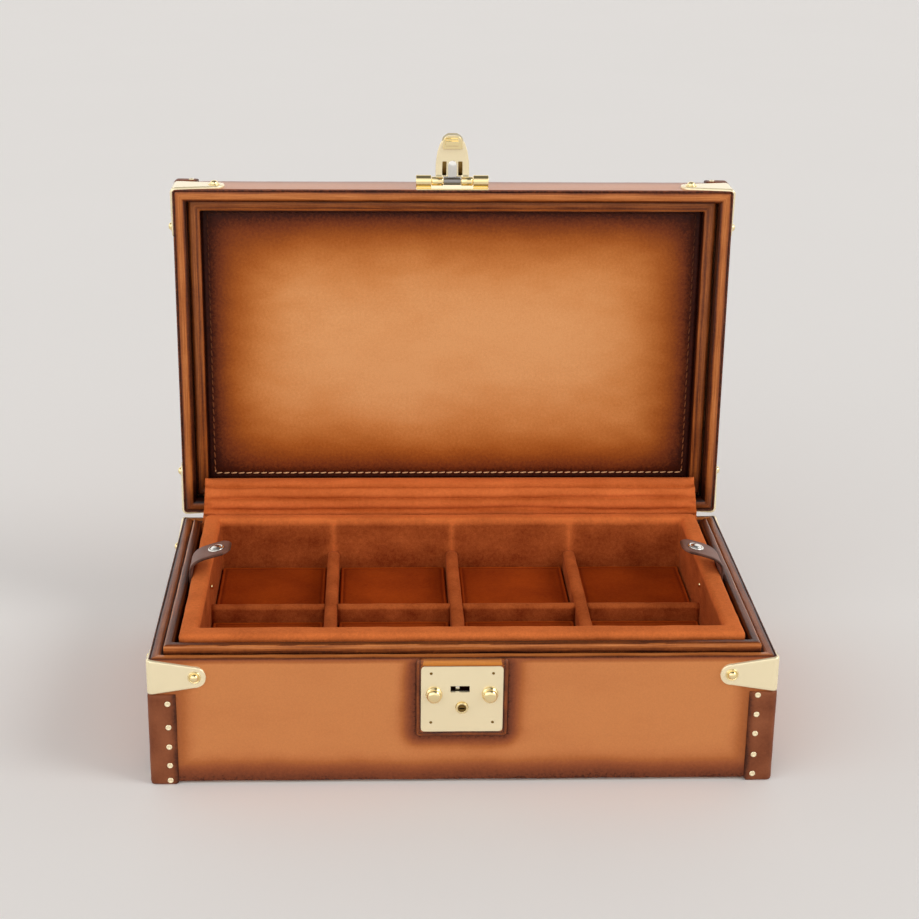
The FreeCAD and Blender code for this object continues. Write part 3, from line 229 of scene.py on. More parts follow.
def suede(name, dark, light, nap=0.3, gain=1.25):
    """Suede: brushed patches, short fibres and a soft sheen."""
    s = Shader(name, Roughness=0.95, Sheen_Weight=nap, Sheen_Roughness=0.4, Specular_IOR_Level=0.08)
    s.shader.inputs["Sheen Tint"].default_value = linear((226, 130, 76))
    patches = s.noise(48, 6, 0.62, (1, 1, 1.6))
    fibres = s.noise(1500, 5, 0.8)
    flecks = s.noise(520, 4, 0.7)
    mix = s.math("ADD", s.range(patches, 0.05, 0.75), s.range(fibres, -0.35, 0.35))
    mix = s.math("ADD", mix, s.range(flecks, -0.3, 0.3))
    # the burnish attribute lightens the suede: painted light on tops and ridges, painted shade low down and
    # in creases
    mix = s.math("ADD", mix, s.attribute("burnish_and_painted_light"), clamp=True)
    s.set("Base Color", s.ramp(mix, [(0.0, dark), (1.0, light)], gain))
    s.set("Normal", s.bump(fibres, 0.6, 0.0002, s.bump(flecks, 0.5, 0.0003)))
    return s.material


def metal(name, colour, roughness, metallic=1.0):
    """Polished metal with faint rubbing marks."""
    s = Shader(name, Metallic=metallic)
    rub = s.noise(340, 3, 0.6, (1, 5, 1))
    shades = [(0.0, tuple(c * 0.965 for c in colour)), (1.0, colour)]
    s.set("Base Color", s.ramp(s.noise(60), shades))
    s.set("Roughness", s.range(rub, *roughness))
    s.set("Normal", s.bump(s.noise(90, 2), 0.03, 0.0003))
    return s.material


def plywood(name):
    s = Shader(name, Specular_IOR_Level=0.3)
    grain = s.noise(45, 8, 0.7, (0.4, 3, 9))
    s.set("Base Color", s.ramp(grain, [(0.3, (166, 122, 76)), (0.7, (206, 168, 118))]))
    s.set("Roughness", s.range(grain, 0.55, 0.75))
    s.set("Normal", s.bump(grain, 0.2, 0.0002))
    return s.material


def thread(name):
    """Waxed thread, darker where the burnish attribute carries painted shade: up the panel, under the rim."""
    s = Shader(name, Roughness=0.7, Specular_IOR_Level=0.2)
    twist = s.range(s.noise(2600, 2), -0.25, 0.25)
    shade = s.math("ADD", s.attribute("burnish_and_painted_light"), twist, clamp=True)
    s.set("Base Color", s.ramp(shade, [(0.0, (240, 186, 136)), (0.5, (150, 86, 48)), (1.0, (66, 26, 12))]))
    s.set("Normal", s.bump(twist, 0.4, 0.0001))
    return s.material


HIDE = leather("hide_tan", HIDE_STOPS, gain=1.08)
LID_HIDE = leather("hide_tan_glazed", HIDE_STOPS, (0.3, 0.42), coat=0.5, gain=1.18)
PANEL = leather("hide_panel", PANEL_STOPS, (0.46, 0.62), 0.05, speckle=0.34, gain=1.22)
RIM = leather("hide_rim", RIM_STOPS, (0.3, 0.44), 0.12, 0.3, streaky=0.5, gain=1.02)
STRIP = leather("hide_strip", STRIP_STOPS, (0.44, 0.58), 0.25, 0.05, speckle=0.6, gain=0.95)
TAB = leather("hide_tab", TAB_STOPS, (0.4, 0.55), 0.15, 0.1, speckle=0.4, gain=1.0)
BRIDGE = leather("hide_bridge", BRIDGE_STOPS, (0.16, 0.28), 0.1, 0.5, streaky=0.5, gain=0.85)
SUEDE = suede("suede_rust", (116, 46, 14), (202, 108, 54))
SUEDE_LIGHT = suede("suede_gusset", (152, 68, 24), (208, 111, 58), 0.35)
PAD = suede("suede_pad", (118, 40, 4), (168, 70, 14), 0.08)
BRASS = metal("brass_plate", (255, 240, 200), (0.14, 0.24), 0.5)
BRASS_DOMED = metal("brass_domed", (255, 234, 178), (0.05, 0.12))
# dark brass for the pin heads and key plug, and as painted shade for the hasp backing
BRASS_DARK = metal("brass_dark_and_shaded", (128, 100, 52), (0.3, 0.45))
NICKEL = metal("nickel", (232, 230, 224), (0.1, 0.2))
STEEL = metal("steel_plain", (150, 148, 144), (0.25, 0.4))
PLY = plywood("birch_ply")
THREAD = thread("thread_waxed")

# ---------------------------------------------------------------- mesh helpers


def make(name, vertices, faces):
    """A smooth-shaded mesh object; the vertices are in millimetres."""
    mesh = bpy.data.meshes.new(name)
    mesh.from_pydata([Vector(v) * MM for v in vertices], [], faces)
    mesh.validate()
    obj = bpy.data.objects.new(name, mesh)
    bpy.context.scene.collection.objects.link(obj)
    mesh.shade_smooth()
    return obj


def tidy_normals(obj):
    work = bmesh.new()
    work.from_mesh(obj.data)
    bmesh.ops.recalc_face_normals(work, faces=work.faces)
    work.to_mesh(obj.data)
    work.free()


def tube_faces(loops, size, closed):
    """Quads between successive loops of points, with end caps where the run isn't closed."""
    faces = []
    for i in range(loops if closed else loops - 1):
        a, b = i * size, ((i + 1) % loops) * size
        for j in range(size):
            k = (j + 1) % size
            faces.append((a + j, a + k, b + k, b + j))
    if not closed:
        faces.append(tuple(range(size)))
        faces.append(tuple(reversed(range((loops - 1) * size, loops * size))))
    return faces


def paint(obj, shade):
    """Stores the burnish attribute, which holds burnish and painted light; shade takes a point in
    millimetres.
    """
    values = [shade(v.co / MM) for v in obj.data.vertices]
    layer = obj.data.attributes.new("burnish_and_painted_light", "FLOAT", "POINT")
    layer.data.foreach_set("value", values)
    return obj


def ripple(obj, height, size, seed=0.0, hold=lambda p: 1.0):
    """Uneven hand-made surface: moves points along their normals by smooth noise."""
    shift = Vector((seed * 7.3, seed * 3.1, seed * 5.7))
    moved = []
    for v in obj.data.vertices:
        lift = noise.noise(v.co / MM / size + shift) * height * MM * hold(v.co / MM)
        moved.append(v.co + v.normal * lift)
    for v, place in zip(obj.data.vertices, moved):
        v.co = place
    obj.data.update()
    return obj


def finish_piece(obj, material, slot, body, *nodes):
    obj.data.materials.clear()
    obj.data.materials.append(material)
    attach(obj, body)
    if nodes:
        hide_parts(*nodes)
    return obj


def rect_loop(rect, radius, along_x, along_y, arc):
    """Points round a rectangle with rounded corners, from the front right corner, anticlockwise."""
    x0, x1, y0, y1 = rect
    corners = [(x1, y0, -1, 1), (x1, y1, -1, -1), (x0, y1, 1, -1), (x0, y0, 1, 1)]
    counts = [along_y, along_x, along_y, along_x]
    points = []
    for i, (cx, cy, sx, sy) in enumerate(corners):
        centre = Vector((cx + sx * radius, cy + sy * radius))
        for k in range(arc + 1):
            angle = math.radians(-90 + 90 * i + 90 * k / arc)
            points.append(centre + radius * Vector((math.cos(angle), math.sin(angle))))
        nx, ny, tx, ty = corners[(i + 1) % 4]
        after = Vector((nx + tx * radius, ny + ty * radius))
        angle = math.radians(90 * i)
        start = points[-1]
        end = after + radius * Vector((math.cos(angle), math.sin(angle)))
        for k in range(1, counts[i]):
            points.append(start.lerp(end, k / counts[i]))
    return points


def ring(name, outer, inner, profile, radii, pitch=4.0, arc=6, gap=None):
    """Moulding round a rectangle. Profile points are (share of the way in, height). The run is
    left open where gap is true of an outer point."""
    along_x = max(2, int((outer[1] - outer[0]) / pitch))
    along_y = max(2, int((outer[3] - outer[2]) / pitch))
    far = rect_loop(outer, radii[0], along_x, along_y, arc)
    near = rect_loop(inner, radii[1], along_x, along_y, arc)
    pairs = list(zip(far, near))
    if gap is not None:
        last = max(i for i, pair in enumerate(pairs) if gap(pair[0]))
        pairs = [p for p in pairs[last + 1 :] + pairs[: last + 1] if not gap(p[0])]
    vertices, runs, girths = [], [], []
    run = 0.0
    for i, (a, b) in enumerate(pairs):
        if i:
            run += (a - pairs[i - 1][0]).length
        girth, before = 0.0, None
        for share, level in profile:
            p = a.lerp(b, share)
            vertices.append((p.x, p.y, level))
            if before is not None:
                girth += math.hypot((share - before[0]) * (b - a).length, level - before[1])
            before = (share, level)
            runs.append(run)
            girths.append(girth)
    obj = make(name, vertices, tube_faces(len(pairs), len(profile), gap is None))
    for title, values in (("run", runs), ("girth", girths)):
        obj.data.attributes.new(title, "FLOAT", "POINT").data.foreach_set("value", values)
    tidy_normals(obj)
    return obj


def wall_top(low, high, radius, width, steps=5, pitch=3.0):
    """Profile of a wall whose two top edges are rounded, as (share across, height)."""
    share = radius / width
    straight = max(1, int((high - radius - low) / pitch))
    side = [low + (high - radius - low) * k / straight for k in range(straight)]
    points = [(0.0, z) for z in side]
    for k in range(steps + 1):
        angle = math.pi / 2 * k / steps
        points.append((share * (1 - math.cos(angle)), high - radius * (1 - math.sin(angle))))
    for k in range(steps, -1, -1):
        angle = math.pi / 2 * k / steps
        points.append((1 - share * (1 - math.cos(angle)), high - radius * (1 - math.sin(angle))))
    points += [(1.0, z) for z in reversed(side)]
    return points


def cushion(name, low, high, radius, crown, pitch=2.5, piping=0.0):
    """Soft block: rounded edges, top crowned in the middle. Corners are in millimetres."""
    (x0, y0, z0), (x1, y1, z1) = low, high
    nx, ny = max(6, int((x1 - x0) / pitch)), max(6, int((y1 - y0) / pitch))

    def spread(k, n):
        t = k / n
        return t - math.sin(4 * math.pi * t) * 0.035

    xs = [x0 + (x1 - x0) * spread(i, nx) for i in range(nx + 1)]
    ys = [y0 + (y1 - y0) * spread(j, ny) for j in range(ny + 1)]
    top, under = [], []
    for y in ys:
        for x in xs:
            edge = min(x - x0, x1 - x, y - y0, y1 - y)
            t = max(0.0, 1 - edge / radius)
            drop = radius * (1 - math.sqrt(max(0.0, 1 - t * t)))
            bulge = math.sin(math.pi * (x - x0) / (x1 - x0)) * math.sin(math.pi * (y - y0) / (y1 - y0))
            swell = crown * max(0.0, bulge) ** 0.6
            ridge = math.exp(-(((edge - 0.9) / 0.5) ** 2))
            furrow = math.exp(-(((edge - 2.1) / 0.6) ** 2))
            cord = piping * (ridge - 0.8 * furrow)
            top.append((x, y, z1 - crown - piping - drop + swell + cord))
            under.append((x, y, z0))
    row = nx + 1
    count = row * (ny + 1)
    faces = []
    for j in range(ny):
        for i in range(nx):
            a = j * row + i
            faces.append((a, a + 1, a + 1 + row, a + row))
            faces.append((count + a, count + a + row, count + a + 1 + row, count + a + 1))
    rim = [i for i in range(row)] + [j * row + nx for j in range(1, ny + 1)]
    rim += [ny * row + i for i in range(nx - 1, -1, -1)] + [j * row for j in range(ny - 1, 0, -1)]
    for a, b in zip(rim, rim[1:] + rim[:1]):
        faces.append((a, count + a, count + b, b))
    obj = make(name, top + under, faces)
    tidy_normals(obj)
    return obj


def lathe(name, profile, spots, segments=28):
    """Turned pieces, all in one mesh: profile is (radius, height), spots are (centre, outward)."""
    vertices, faces = [], []
    for centre, outward in spots:
        turn = outward.to_track_quat("Z", "Y").to_matrix()
        base = len(vertices)
        for radius, height in profile:
            for k in range(segments):
                angle = 2 * math.pi * k / segments
                local = Vector((radius * math.cos(angle), radius * math.sin(angle), height))
                vertices.append(centre + turn @ local)
        for i in range(len(profile) - 1):
            for k in range(segments):
                a, b = base + i * segments, base + (i + 1) * segments
                j = (k + 1) % segments
                faces.append((a + k, a + j, b + j, b + k))
        faces.append(tuple(base + k for k in reversed(range(segments))))
        top = base + (len(profile) - 1) * segments
        faces.append(tuple(top + k for k in range(segments)))
    obj = make(name, vertices, faces)
    tidy_normals(obj)
    return obj


def islands(node):
    """Boxes of the separate solids of a CAD node, in millimetres."""
    work = bmesh.new()
    work.from_mesh(frame["nodes"][node].data)
    bmesh.ops.remove_doubles(work, verts=work.verts, dist=1e-6)
    left, boxes = set(work.verts), []
    while left:
        stack, part = [left.pop()], []
        while stack:
            v = stack.pop()
            part.append(v.co / MM)
            for edge in v.link_edges:
                other = edge.other_vert(v)
                if other in left:
                    left.remove(other)
                    stack.append(other)
        low = Vector([min(p[k] for p in part) for k in range(3)])
        high = Vector([max(p[k] for p in part) for k in range(3)])
        boxes.append((low, high))
    work.free()
    return sorted(boxes, key=lambda b: tuple(round(x, 3) for x in (b[0] + b[1])))


def fastener_spots(node, proud):
    """Where each driven fastener meets the surface, and the way it points out."""
    whole = [box_mm(node)[0], box_mm(node)[1]]
    middle = (whole[0] + whole[1]) / 2
    spots = []
    for low, high in islands(node):
        size, centre = high - low, (low + high) / 2
        axis = max(range(3), key=lambda k: abs(size[k] - min(size[j] for j in range(3) if j != k)))
        reach = [abs(size[k] - size[(k + 1) % 3]) + abs(size[k] - size[(k + 2) % 3]) for k in range(3)]
        axis = reach.index(max(reach))
        sign = 1 if centre[axis] > middle[axis] else -1
        out = Vector((0, 0, 0))
        out[axis] = sign
        centre[axis] = (high if sign > 0 else low)[axis] - sign * proud
        spots.append((centre, out))
    return spots


def box_mm(node):
    low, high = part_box(node)
    return low / MM, high / MM


def refined(name, nodes, material, slot, body, width=0.18, segments=2):
    """CAD pieces with softened edges, as finished metal has them."""
    made = []
    for node in nodes:
        source = frame["nodes"][node].data
        points = [v.co.copy() for v in source.vertices]
        faces = [tuple(p.vertices) for p in source.polygons]
        title = node + "_finished" if len(nodes) > 1 else name
        obj = make(title, [p / MM for p in points], faces)
        work = bmesh.new()
        work.from_mesh(obj.data)
        bmesh.ops.remove_doubles(work, verts=work.verts, dist=1e-6)
        flat = math.radians(0.6)
        bmesh.ops.dissolve_limit(work, angle_limit=flat, verts=work.verts, edges=work.edges)
        work.to_mesh(obj.data)
        work.free()
        bevel = obj.modifiers.new("edges", "BEVEL")
        bevel.width = width * MM
        bevel.segments = segments
        bevel.limit_method = "ANGLE"
        bevel.angle_limit = math.radians(38)
        bevel.harden_normals = True
        obj.data.shade_smooth()
        made.append(finish_piece(obj, material, slot, body, node))
    return made


# ---------------------------------------------------------------- levels read from the frame

cover_low, cover_high = box_mm("base_leather_cover")
HALF_X, HALF_Y = cover_high.x, cover_high.y
FOOT = cover_low.z
bead_low, bead_high = box_mm("base_rim_bead")
RIM_Z = bead_high.z
liner_low, liner_high = box_mm("base_liner_frame")
WELL_X = box_mm("floor_lining")[1].x
WELL_Y = box_mm("floor_lining")[1].y
plate_low, plate_high = box_mm("lock_plate")
cap_low, cap_high = box_mm("base_rear_caps")
CAP_THICK = cap_high.x - HALF_X
LIP = HALF_X - 7.0 - WELL_X
hinge = next(j for j in frame["joints"] if j["name"] == "lid_hinge")
AXIS_Y, AXIS_Z = hinge["pos_m"][1] / MM, hinge["pos_m"][2] / MM
LID_RIM = AXIS_Z + (box_mm("lid_rim_bead")[0].y - AXIS_Y)
LID_TOP = AXIS_Z + (box_mm("lid_leather_cover")[1].y - AXIS_Y)
OPEN = Matrix(((1, 0, 0, 0), (0, 0, 1, AXIS_Y - AXIS_Z), (0, -1, 0, AXIS_Y + AXIS_Z), (0, 0, 0, 1)))


def open_lid(obj):
    """Turns a piece drawn in the closed lid to where the lid stands open."""
    turned = OPEN.copy()
    turned.translation = OPEN.translation * MM
    obj.data.transform(turned)
    obj.data.update()
    return obj


def fade(distance, width):
    """Darkening from an edge, used for burnish and for painted shade: 1 at the edge, fading out over about
    the width.
    """
    return math.exp(-((max(distance, 0.0) / width) ** 1.6))


def cloudy(p, size, seed=0.0):
    return noise.noise(Vector((p[0] / size + seed, p[1] / size - seed, p[2] / size + seed * 2)))


# ---------------------------------------------------------------- base


def lock_distance(p):
    """Distance from the lock plate's outline on the front face."""
    dx = max(plate_low.x - p.x, p.x - plate_high.x, 0)
    dz = max(plate_low.z - p.z, p.z - plate_high.z, 0)
    return math.hypot(dx, dz)


def base_burnish(p):
    wander = 1.2 * cloudy(p, 26) + 0.5 * cloudy(p, 7, 3)
    front = p.y < -HALF_Y + 1.5
    on_long = abs(p.y) > HALF_Y - 1.5
    to_corner = (HALF_X if on_long else HALF_Y) - abs(p.x if on_long else p.y)
    shade = 1 / (1 + math.exp((p.z - FOOT - 8.0 - wander) / 2.5))
    shade = max(shade, 0.9 * fade(RIM_Z - 0.35 - p.z, 0.7), 0.3 * fade(to_corner - 14.5, 5 + wander))
    if front:
        shade = max(shade, 0.95 * fade(lock_distance(p) - 3.2, 4.6 + wander))
    return min(1.0, shade + (0.0 if front else 0.1))


def shell_profile(low, high, edge):
    """Thin leather wall as (share through, height), rounded at its two outer edges."""
    steps = 4
    points = []
    for k in range(steps):
        angle = math.pi / 2 * k / steps
        points.append((0.9 * (1 - math.sin(angle)), low + edge * (1 - math.cos(angle))))
    rows = int((high - low - 2 * edge) / 2.2)
    points += [(0.0, low + edge + (high - low - 2 * edge) * k / rows) for k in range(rows + 1)]
    for k in range(1, steps + 1):
        angle = math.pi / 2 * k / steps
        points.append((0.9 * (1 - math.cos(angle)), high - edge * (1 - math.sin(angle))))
    points += [(1.0, high), (1.0, low)]
    return points


def cut_window(obj, low, high):
    """Cuts a rectangular opening through a thin piece."""
    centre, size = (Vector(low) + Vector(high)) / 2, Vector(high) - Vector(low)
    bpy.ops.mesh.primitive_cube_add(size=1, location=centre * MM)
    tool = bpy.context.object
    tool.scale = size * MM
    bpy.context.view_layer.update()
    cut = obj.modifiers.new("window", "BOOLEAN")
    cut.operation = "DIFFERENCE"
    cut.solver = "EXACT"
    cut.object = tool
    bpy.context.view_layer.update()
    graph = bpy.context.evaluated_depsgraph_get()
    mesh = bpy.data.meshes.new_from_object(obj.evaluated_get(graph))
    obj.modifiers.clear()
    obj.data = mesh
    bpy.data.objects.remove(tool)
    mesh.shade_smooth()


def base_leather():
    outer = (-HALF_X, HALF_X, -HALF_Y, HALF_Y)
    inset = 0.8
    inner = (-HALF_X + inset, HALF_X - inset, -HALF_Y + inset, HALF_Y - inset)
    shell = ring("base_leather", outer, inner, shell_profile(FOOT, RIM_Z - 0.3, 0.6), (2.0, 1.2), 2.2)
    ripple(shell, 0.12, 30, 1, lambda p: min(1.0, (RIM_Z - 1 - p.z) / 6) if p.z < RIM_Z - 1 else 0.0)
    low = (plate_low.x - 0.6, -HALF_Y - 3, plate_low.z - 0.6)
    high = (plate_high.x + 0.6, -HALF_Y + 3, RIM_Z)
    cut_window(shell, low, high)
    paint(shell, base_burnish)
    finish_piece(shell, HIDE, "hide", "base", "base_leather_cover")


BEAD = 6.4
SKIN = 0.8
LINER_IN = 7.0


def rolled(width, near, far, deep):
    """Section of a rolled rim as (share across, height): a flat-topped bead, then down to deep."""
    up = 1 if near > far else -1
    section = [(SKIN, far), (SKIN, near - up * 1.1), (SKIN + 0.2, near - up * 0.5), (1.6, near - up * 0.15)]
    section += [(2.5, near), (3.4, near), (4.3, near), (5.2, near - up * 0.14), (6.0, near - up * 0.6)]
    section += [(width, near - up * 1.5), (width, (near + deep) / 2), (width, deep), (3.0, deep), (3.0, far)]
    return [((x - SKIN) / (width - SKIN), z) for x, z in section]


def rim_burnish_and_shade(level, sides, foot):
    """Rolled rims: dark in the seams, lighter along the crest, with painted shade down the inner wall and
    towards the lid's hinge; the short sides are darker, partly burnish and partly painted shade.
    """

    def shade(p):
        from_edge = min(HALF_X - abs(p.x), HALF_Y - abs(p.y))
        short = HALF_X - abs(p.x) < HALF_Y - abs(p.y)
        seam = max(fade(from_edge - SKIN, 1.0), fade(BEAD - from_edge, 0.7))
        # painted shade: darker down the inner wall, away from the crest, and towards the hinge end of the lid
        deep = min(1.0, max(0.0, abs(p.z - level) - 0.8) / 1.2)
        near_hinge_shade = fade(foot - p.y, 16) if foot else 0.0
        extra = (sides if short else 0.0) + 0.4 * near_hinge_shade + 0.12 * cloudy(p, 22, 3)
        return min(1.0, 0.16 + 0.8 * max(seam, deep) + extra)

    return shade


def framed(inset):
    """Rectangle set in from the outer faces."""
    return (-HALF_X + inset, HALF_X - inset, -HALF_Y + inset, HALF_Y - inset)


def base_rim():
    section = rolled(BEAD, RIM_Z, bead_low.z, bead_low.z)[:-2]
    bead = ring("base_rim_roll", framed(SKIN), framed(BEAD), section, (1.6, 0.4), 3.0)
    ripple(bead, 0.18, 16, 2, lambda p: 1.0 if p.z > bead_low.z + 1.5 else 0.0)
    paint(bead, rim_burnish_and_shade(RIM_Z, 0.28, None))
    finish_piece(bead, RIM, "rim", "base", "base_rim_bead")

    top = liner_high.z
    profile = wall_top(liner_low.z, top, 1.5, LIP)
    inner = (-WELL_X, WELL_X, -WELL_Y, WELL_Y)
    lip = ring("base_lip", framed(LINER_IN), inner, profile, (0.4, 1.5), 3.0, gap=lambda p: p.y > WELL_Y)
    ripple(lip, 0.2, 18, 3)

    def shade(p):
        outside = max(abs(p.x) - WELL_X, abs(p.y) - WELL_Y)
        # painted shade: the lip's outer face darkens at its foot, where it meets the rim; the top is darker,
        # most towards the well
        if outside > LIP - 0.9 and p.z < top - 0.3:
            return min(1.0, 0.2 + 0.7 * fade(p.z - RIM_Z, 0.9) + 0.12 * cloudy(p, 20, 4))
        return min(1.0, 0.66 + 0.25 * fade(outside - 1.2, 1.0) + 0.14 * cloudy(p, 20, 4))

    paint(lip, shade)
    finish_piece(lip, RIM, "rim", "base", "base_liner_frame")
    liner = frame["nodes"]["base_liner_frame"].data
    rear_top = max(v.co.z / MM for v in liner.vertices if v.co.y / MM > WELL_Y + 1)
    low = Vector((-HALF_X + LINER_IN, WELL_Y, liner_low.z))
    back = padded_bar("base_rear_liner", low, Vector((-low.x, HALF_Y - LINER_IN, rear_top)), 0)
    finish_piece(paint(back, lambda p: 0.1), SUEDE, "suede", "base", "base_liner_frame")


def soft_floor():
    low, high = box_mm("floor_lining")
    lining = cushion("well_lining", low, high, 0.8, 0.3, 4.0)
    ripple(lining, 0.1, 12, 5)
    finish_piece(paint(lining, lambda p: 0.1), SUEDE, "lining", "base", "floor_lining")
    for i, (low, high) in enumerate(islands("tray_bearers")):
        bearer = cushion(f"tray_bearer_{i + 1}", low, high, 0.9, 0.0, 3.0)
        finish_piece(paint(bearer, lambda p: 0.0), SUEDE, "suede", "base", "tray_bearers")
    low, high = box_mm("base_bottom_cover")
    upper, lower = Vector((low.x, low.y, high.z)), Vector((high.x, high.y, low.z))
    sole = cushion("bottom_leather", upper, lower, 0.5, 0.0, 5.0)
    paint(sole, lambda p: 0.7 + 0.2 * cloudy(p, 60))
    finish_piece(sole, HIDE, "hide", "base", "base_bottom_cover")


# ---------------------------------------------------------------- corners: caps, strips, fasteners


def bent_sheet(name, corner, thick, bend, samples, low_edge, high_edge, edge_round, end, rows=14):
    """Sheet wrapped round an upright corner. samples run along it, negative on the long face;
    low_edge and high_edge give its outline at each sample."""
    sx, sy = corner
    inner_bend = bend - thick
    arc_length = inner_bend * math.pi / 2
    loops = []
    for s in samples:
        low, high = low_edge(abs(s)), high_edge(abs(s))
        loop = []
        levels = [0.5 - 0.5 * math.cos(math.pi * k / rows) for k in range(rows + 1)]
        for side in (1, 0):
            for t in levels if side else reversed(levels):
                z = low + (high - low) * t
                near = min(z - low, high - z, end - abs(s))
                lack = max(0.0, 1 - near / edge_round)
                offset = thick * math.sqrt(max(0.0, 1 - lack * lack)) if side else -0.05
                if s < -arc_length / 2:
                    x, y = HALF_X - inner_bend + (s + arc_length / 2), HALF_Y + offset
                elif s > arc_length / 2:
                    x, y = HALF_X + offset, HALF_Y - inner_bend - (s - arc_length / 2)
                else:
                    angle = math.pi / 2 * (0.5 - s / arc_length)
                    x = HALF_X - inner_bend + (inner_bend + offset) * math.cos(angle)
                    y = HALF_Y - inner_bend + (inner_bend + offset) * math.sin(angle)
                loop.append((sx * x, sy * y, z))
        loops.append(loop)
    size = len(loops[0])
    obj = make(name, [p for loop in loops for p in loop], tube_faces(len(loops), size, False))
    tidy_normals(obj)
    return obj


def spaced(end, tight, step):
    """Places from -end to end, close together near both ends and round the bend."""
    half = [0.0, 0.5, 1.0, 1.5, 2.0, 2.6]
    s = 3.4
    while s < end - tight:
        half.append(s)
        s += step
    count = 14
    half += [end - tight * math.cos(math.pi / 2 * k / count) for k in range(count + 1)]
    half = sorted(set(round(v, 4) for v in half))
    return [-v for v in reversed(half) if v > 0] + half


CORNERS = [(sx, sy) for sy in (-1, 1) for sx in (-1, 1)]
PLACES = {(-1, -1): "front_left", (1, -1): "front_right", (-1, 1): "rear_left", (1, 1): "rear_right"}


def corner_cap(name, corner, low, height, thick):
    """Brass corner with two tapering legs and round ends."""
    tip = 5.8
    bend = 3.2
    end = cap_leg - thick - (bend - thick) + (bend - thick) * math.pi / 4
    middle = low + height / 2

    def half(s):
        flat = end - tip
        if s > flat:
            return max(0.06, math.sqrt(max(0.0, tip * tip - (s - flat) ** 2)))
        return height / 2 + (tip - height / 2) * s / flat

    samples = spaced(end, tip, 1.6)
    low_edge, high_edge = (lambda s: middle - half(s)), (lambda s: middle + half(s))
    return bent_sheet(name, corner, thick, bend, samples, low_edge, high_edge, 0.5, end + 0.4)


def corner_strip(name, corner, low, high, thick):
    """Leather strip on an upright edge, with rounded lower corners."""
    bend = 3.2
    end = strip_leg - thick - (bend - thick) + (bend - thick) * math.pi / 4
    round_corner = 1.6

    def low_edge(s):
        t = max(0.0, s - (end - round_corner))
        return low + round_corner - math.sqrt(max(0.0, round_corner**2 - t * t))

    samples = spaced(end, round_corner, 1.6)
    strip = bent_sheet(name, corner, thick, bend, samples, low_edge, lambda s: high, 0.9, end, 18)
    ripple(strip, 0.12, 7, 6)
    seam = end

    # painted shadow line: the strip darkens along its free edge, where the raised strip stands off the face
    def shade(p):
        along_x = HALF_X - abs(p.x)
        along_y = HALF_Y - abs(p.y)
        reach = max(along_x, along_y)
        return min(1.0, 0.3 + 0.6 * fade(seam - reach, 1.6) + 0.35 * cloudy(p, 9, 7))

    return paint(strip, shade)


cap_leg = cap_high.y - cap_low.y
strip_low, strip_high = box_mm("base_corner_strips")
strip_leg = 14.2
cap_levels = (cap_high.z - 18.8, cap_high.z)


def corners():
    height = cap_levels[1] - cap_levels[0]
    for corner in CORNERS:
        place = PLACES[corner]
        face = place.split("_")[0]
        cap = corner_cap(f"base_cap_{place}", corner, cap_levels[0], height, CAP_THICK)
        finish_piece(cap, BRASS, "brass", "base", f"base_{face}_caps")
        strip = corner_strip(f"base_strip_{place}", corner, strip_low.z, strip_high.z - 0.1, CAP_THICK)
        finish_piece(strip, STRIP, "strip", "base", "base_corner_strips")
        cap = corner_cap(f"lid_cap_{place}", corner, LID_RIM, height, CAP_THICK)
        finish_piece(open_lid(cap), BRASS, "brass", "lid", f"lid_{face}_caps")
        tall = LID_TOP - LID_RIM - height
        strip = corner_strip(f"lid_strip_{place}", corner, -tall, -0.1, CAP_THICK)
        strip.data.transform(Matrix.Diagonal((1, 1, -1, 1)))
        strip.data.transform(Matrix.Translation((0, 0, (LID_TOP - tall) * MM)))
        strip.data.flip_normals()
        finish_piece(open_lid(strip), STRIP, "strip", "lid", "lid_corner_strips")
    rivet = [(3.2, 0.0), (3.2, 0.25), (3.0, 0.5), (2.75, 0.52), (2.5, 0.2), (2.32, 0.2)]
    rivet += [(2.25, 0.7), (2.05, 1.3), (1.65, 1.8), (1.05, 2.12), (0.45, 2.24), (0.05, 2.26)]
    nail = [(1.5, 0.0), (1.48, 0.22), (1.3, 0.42), (1.05, 0.5)]
    nail += [(0.8, 0.44), (0.55, 0.3), (0.3, 0.26), (0.04, 0.25)]
    for body in ("base", "lid"):
        node = f"{body}_cap_rivets"
        spots = fastener_spots(node, 2.2)
        finish_piece(lathe(f"{body}_rivet_heads", rivet, spots, 32), BRASS_DOMED, "brass", body, node)
        node = f"{body}_nails"
        spots = fastener_spots(node, 0.5)
        finish_piece(lathe(f"{body}_nail_heads", nail, spots, 20), BRASS, "brass", body, node)


# ---------------------------------------------------------------- lock and hasp


def stand_up(obj, y):
    """Turns a piece drawn flat so that it stands against the front, its top facing forwards."""
    obj.data.transform(Matrix(((1, 0, 0, 0), (0, 0, 1, y * MM), (0, 1, 0, 0), (0, 0, 0, 1))))
    tidy_normals(obj)
    return obj


def lock_surround():
    """Moulded leather lip round the lock plate."""
    x0, x1, z0, z1 = plate_low.x, plate_high.x, plate_low.z, plate_high.z
    lip = 2.7
    outer = (x0 - lip, x1 + lip, z0 - lip, RIM_Z - 0.2)
    inner = (x0 + 0.1, x1 - 0.1, z0 + 0.1, z1 - 0.1)
    profile = [(0.0, 0.1), (0.1, -0.5), (0.28, -1.0), (0.5, -1.2), (0.75, -1.15), (0.92, -0.9), (1.0, -0.4)]
    profile += [(1.0, 0.5), (0.0, 0.5)]
    lipped = stand_up(ring("lock_surround", outer, inner, profile, (2.6, 2.0), 2.0, 8), -HALF_Y)

    # painted shadow beside the plate's edge and painted shade on the lip's outer side face, over a darker
    # burnished ground
    def shade(p):
        outside = max(x0 - p.x, p.x - x1, z0 - p.z)
        if outside < 0:
            return 0.5
        return 0.45 + 0.5 * max(fade(outside - 0.1, 0.9), fade(lip - outside, 0.8)) + 0.1 * cloudy(p, 8)

    paint(lipped, shade)
    finish_piece(lipped, RIM, "rim", "base")


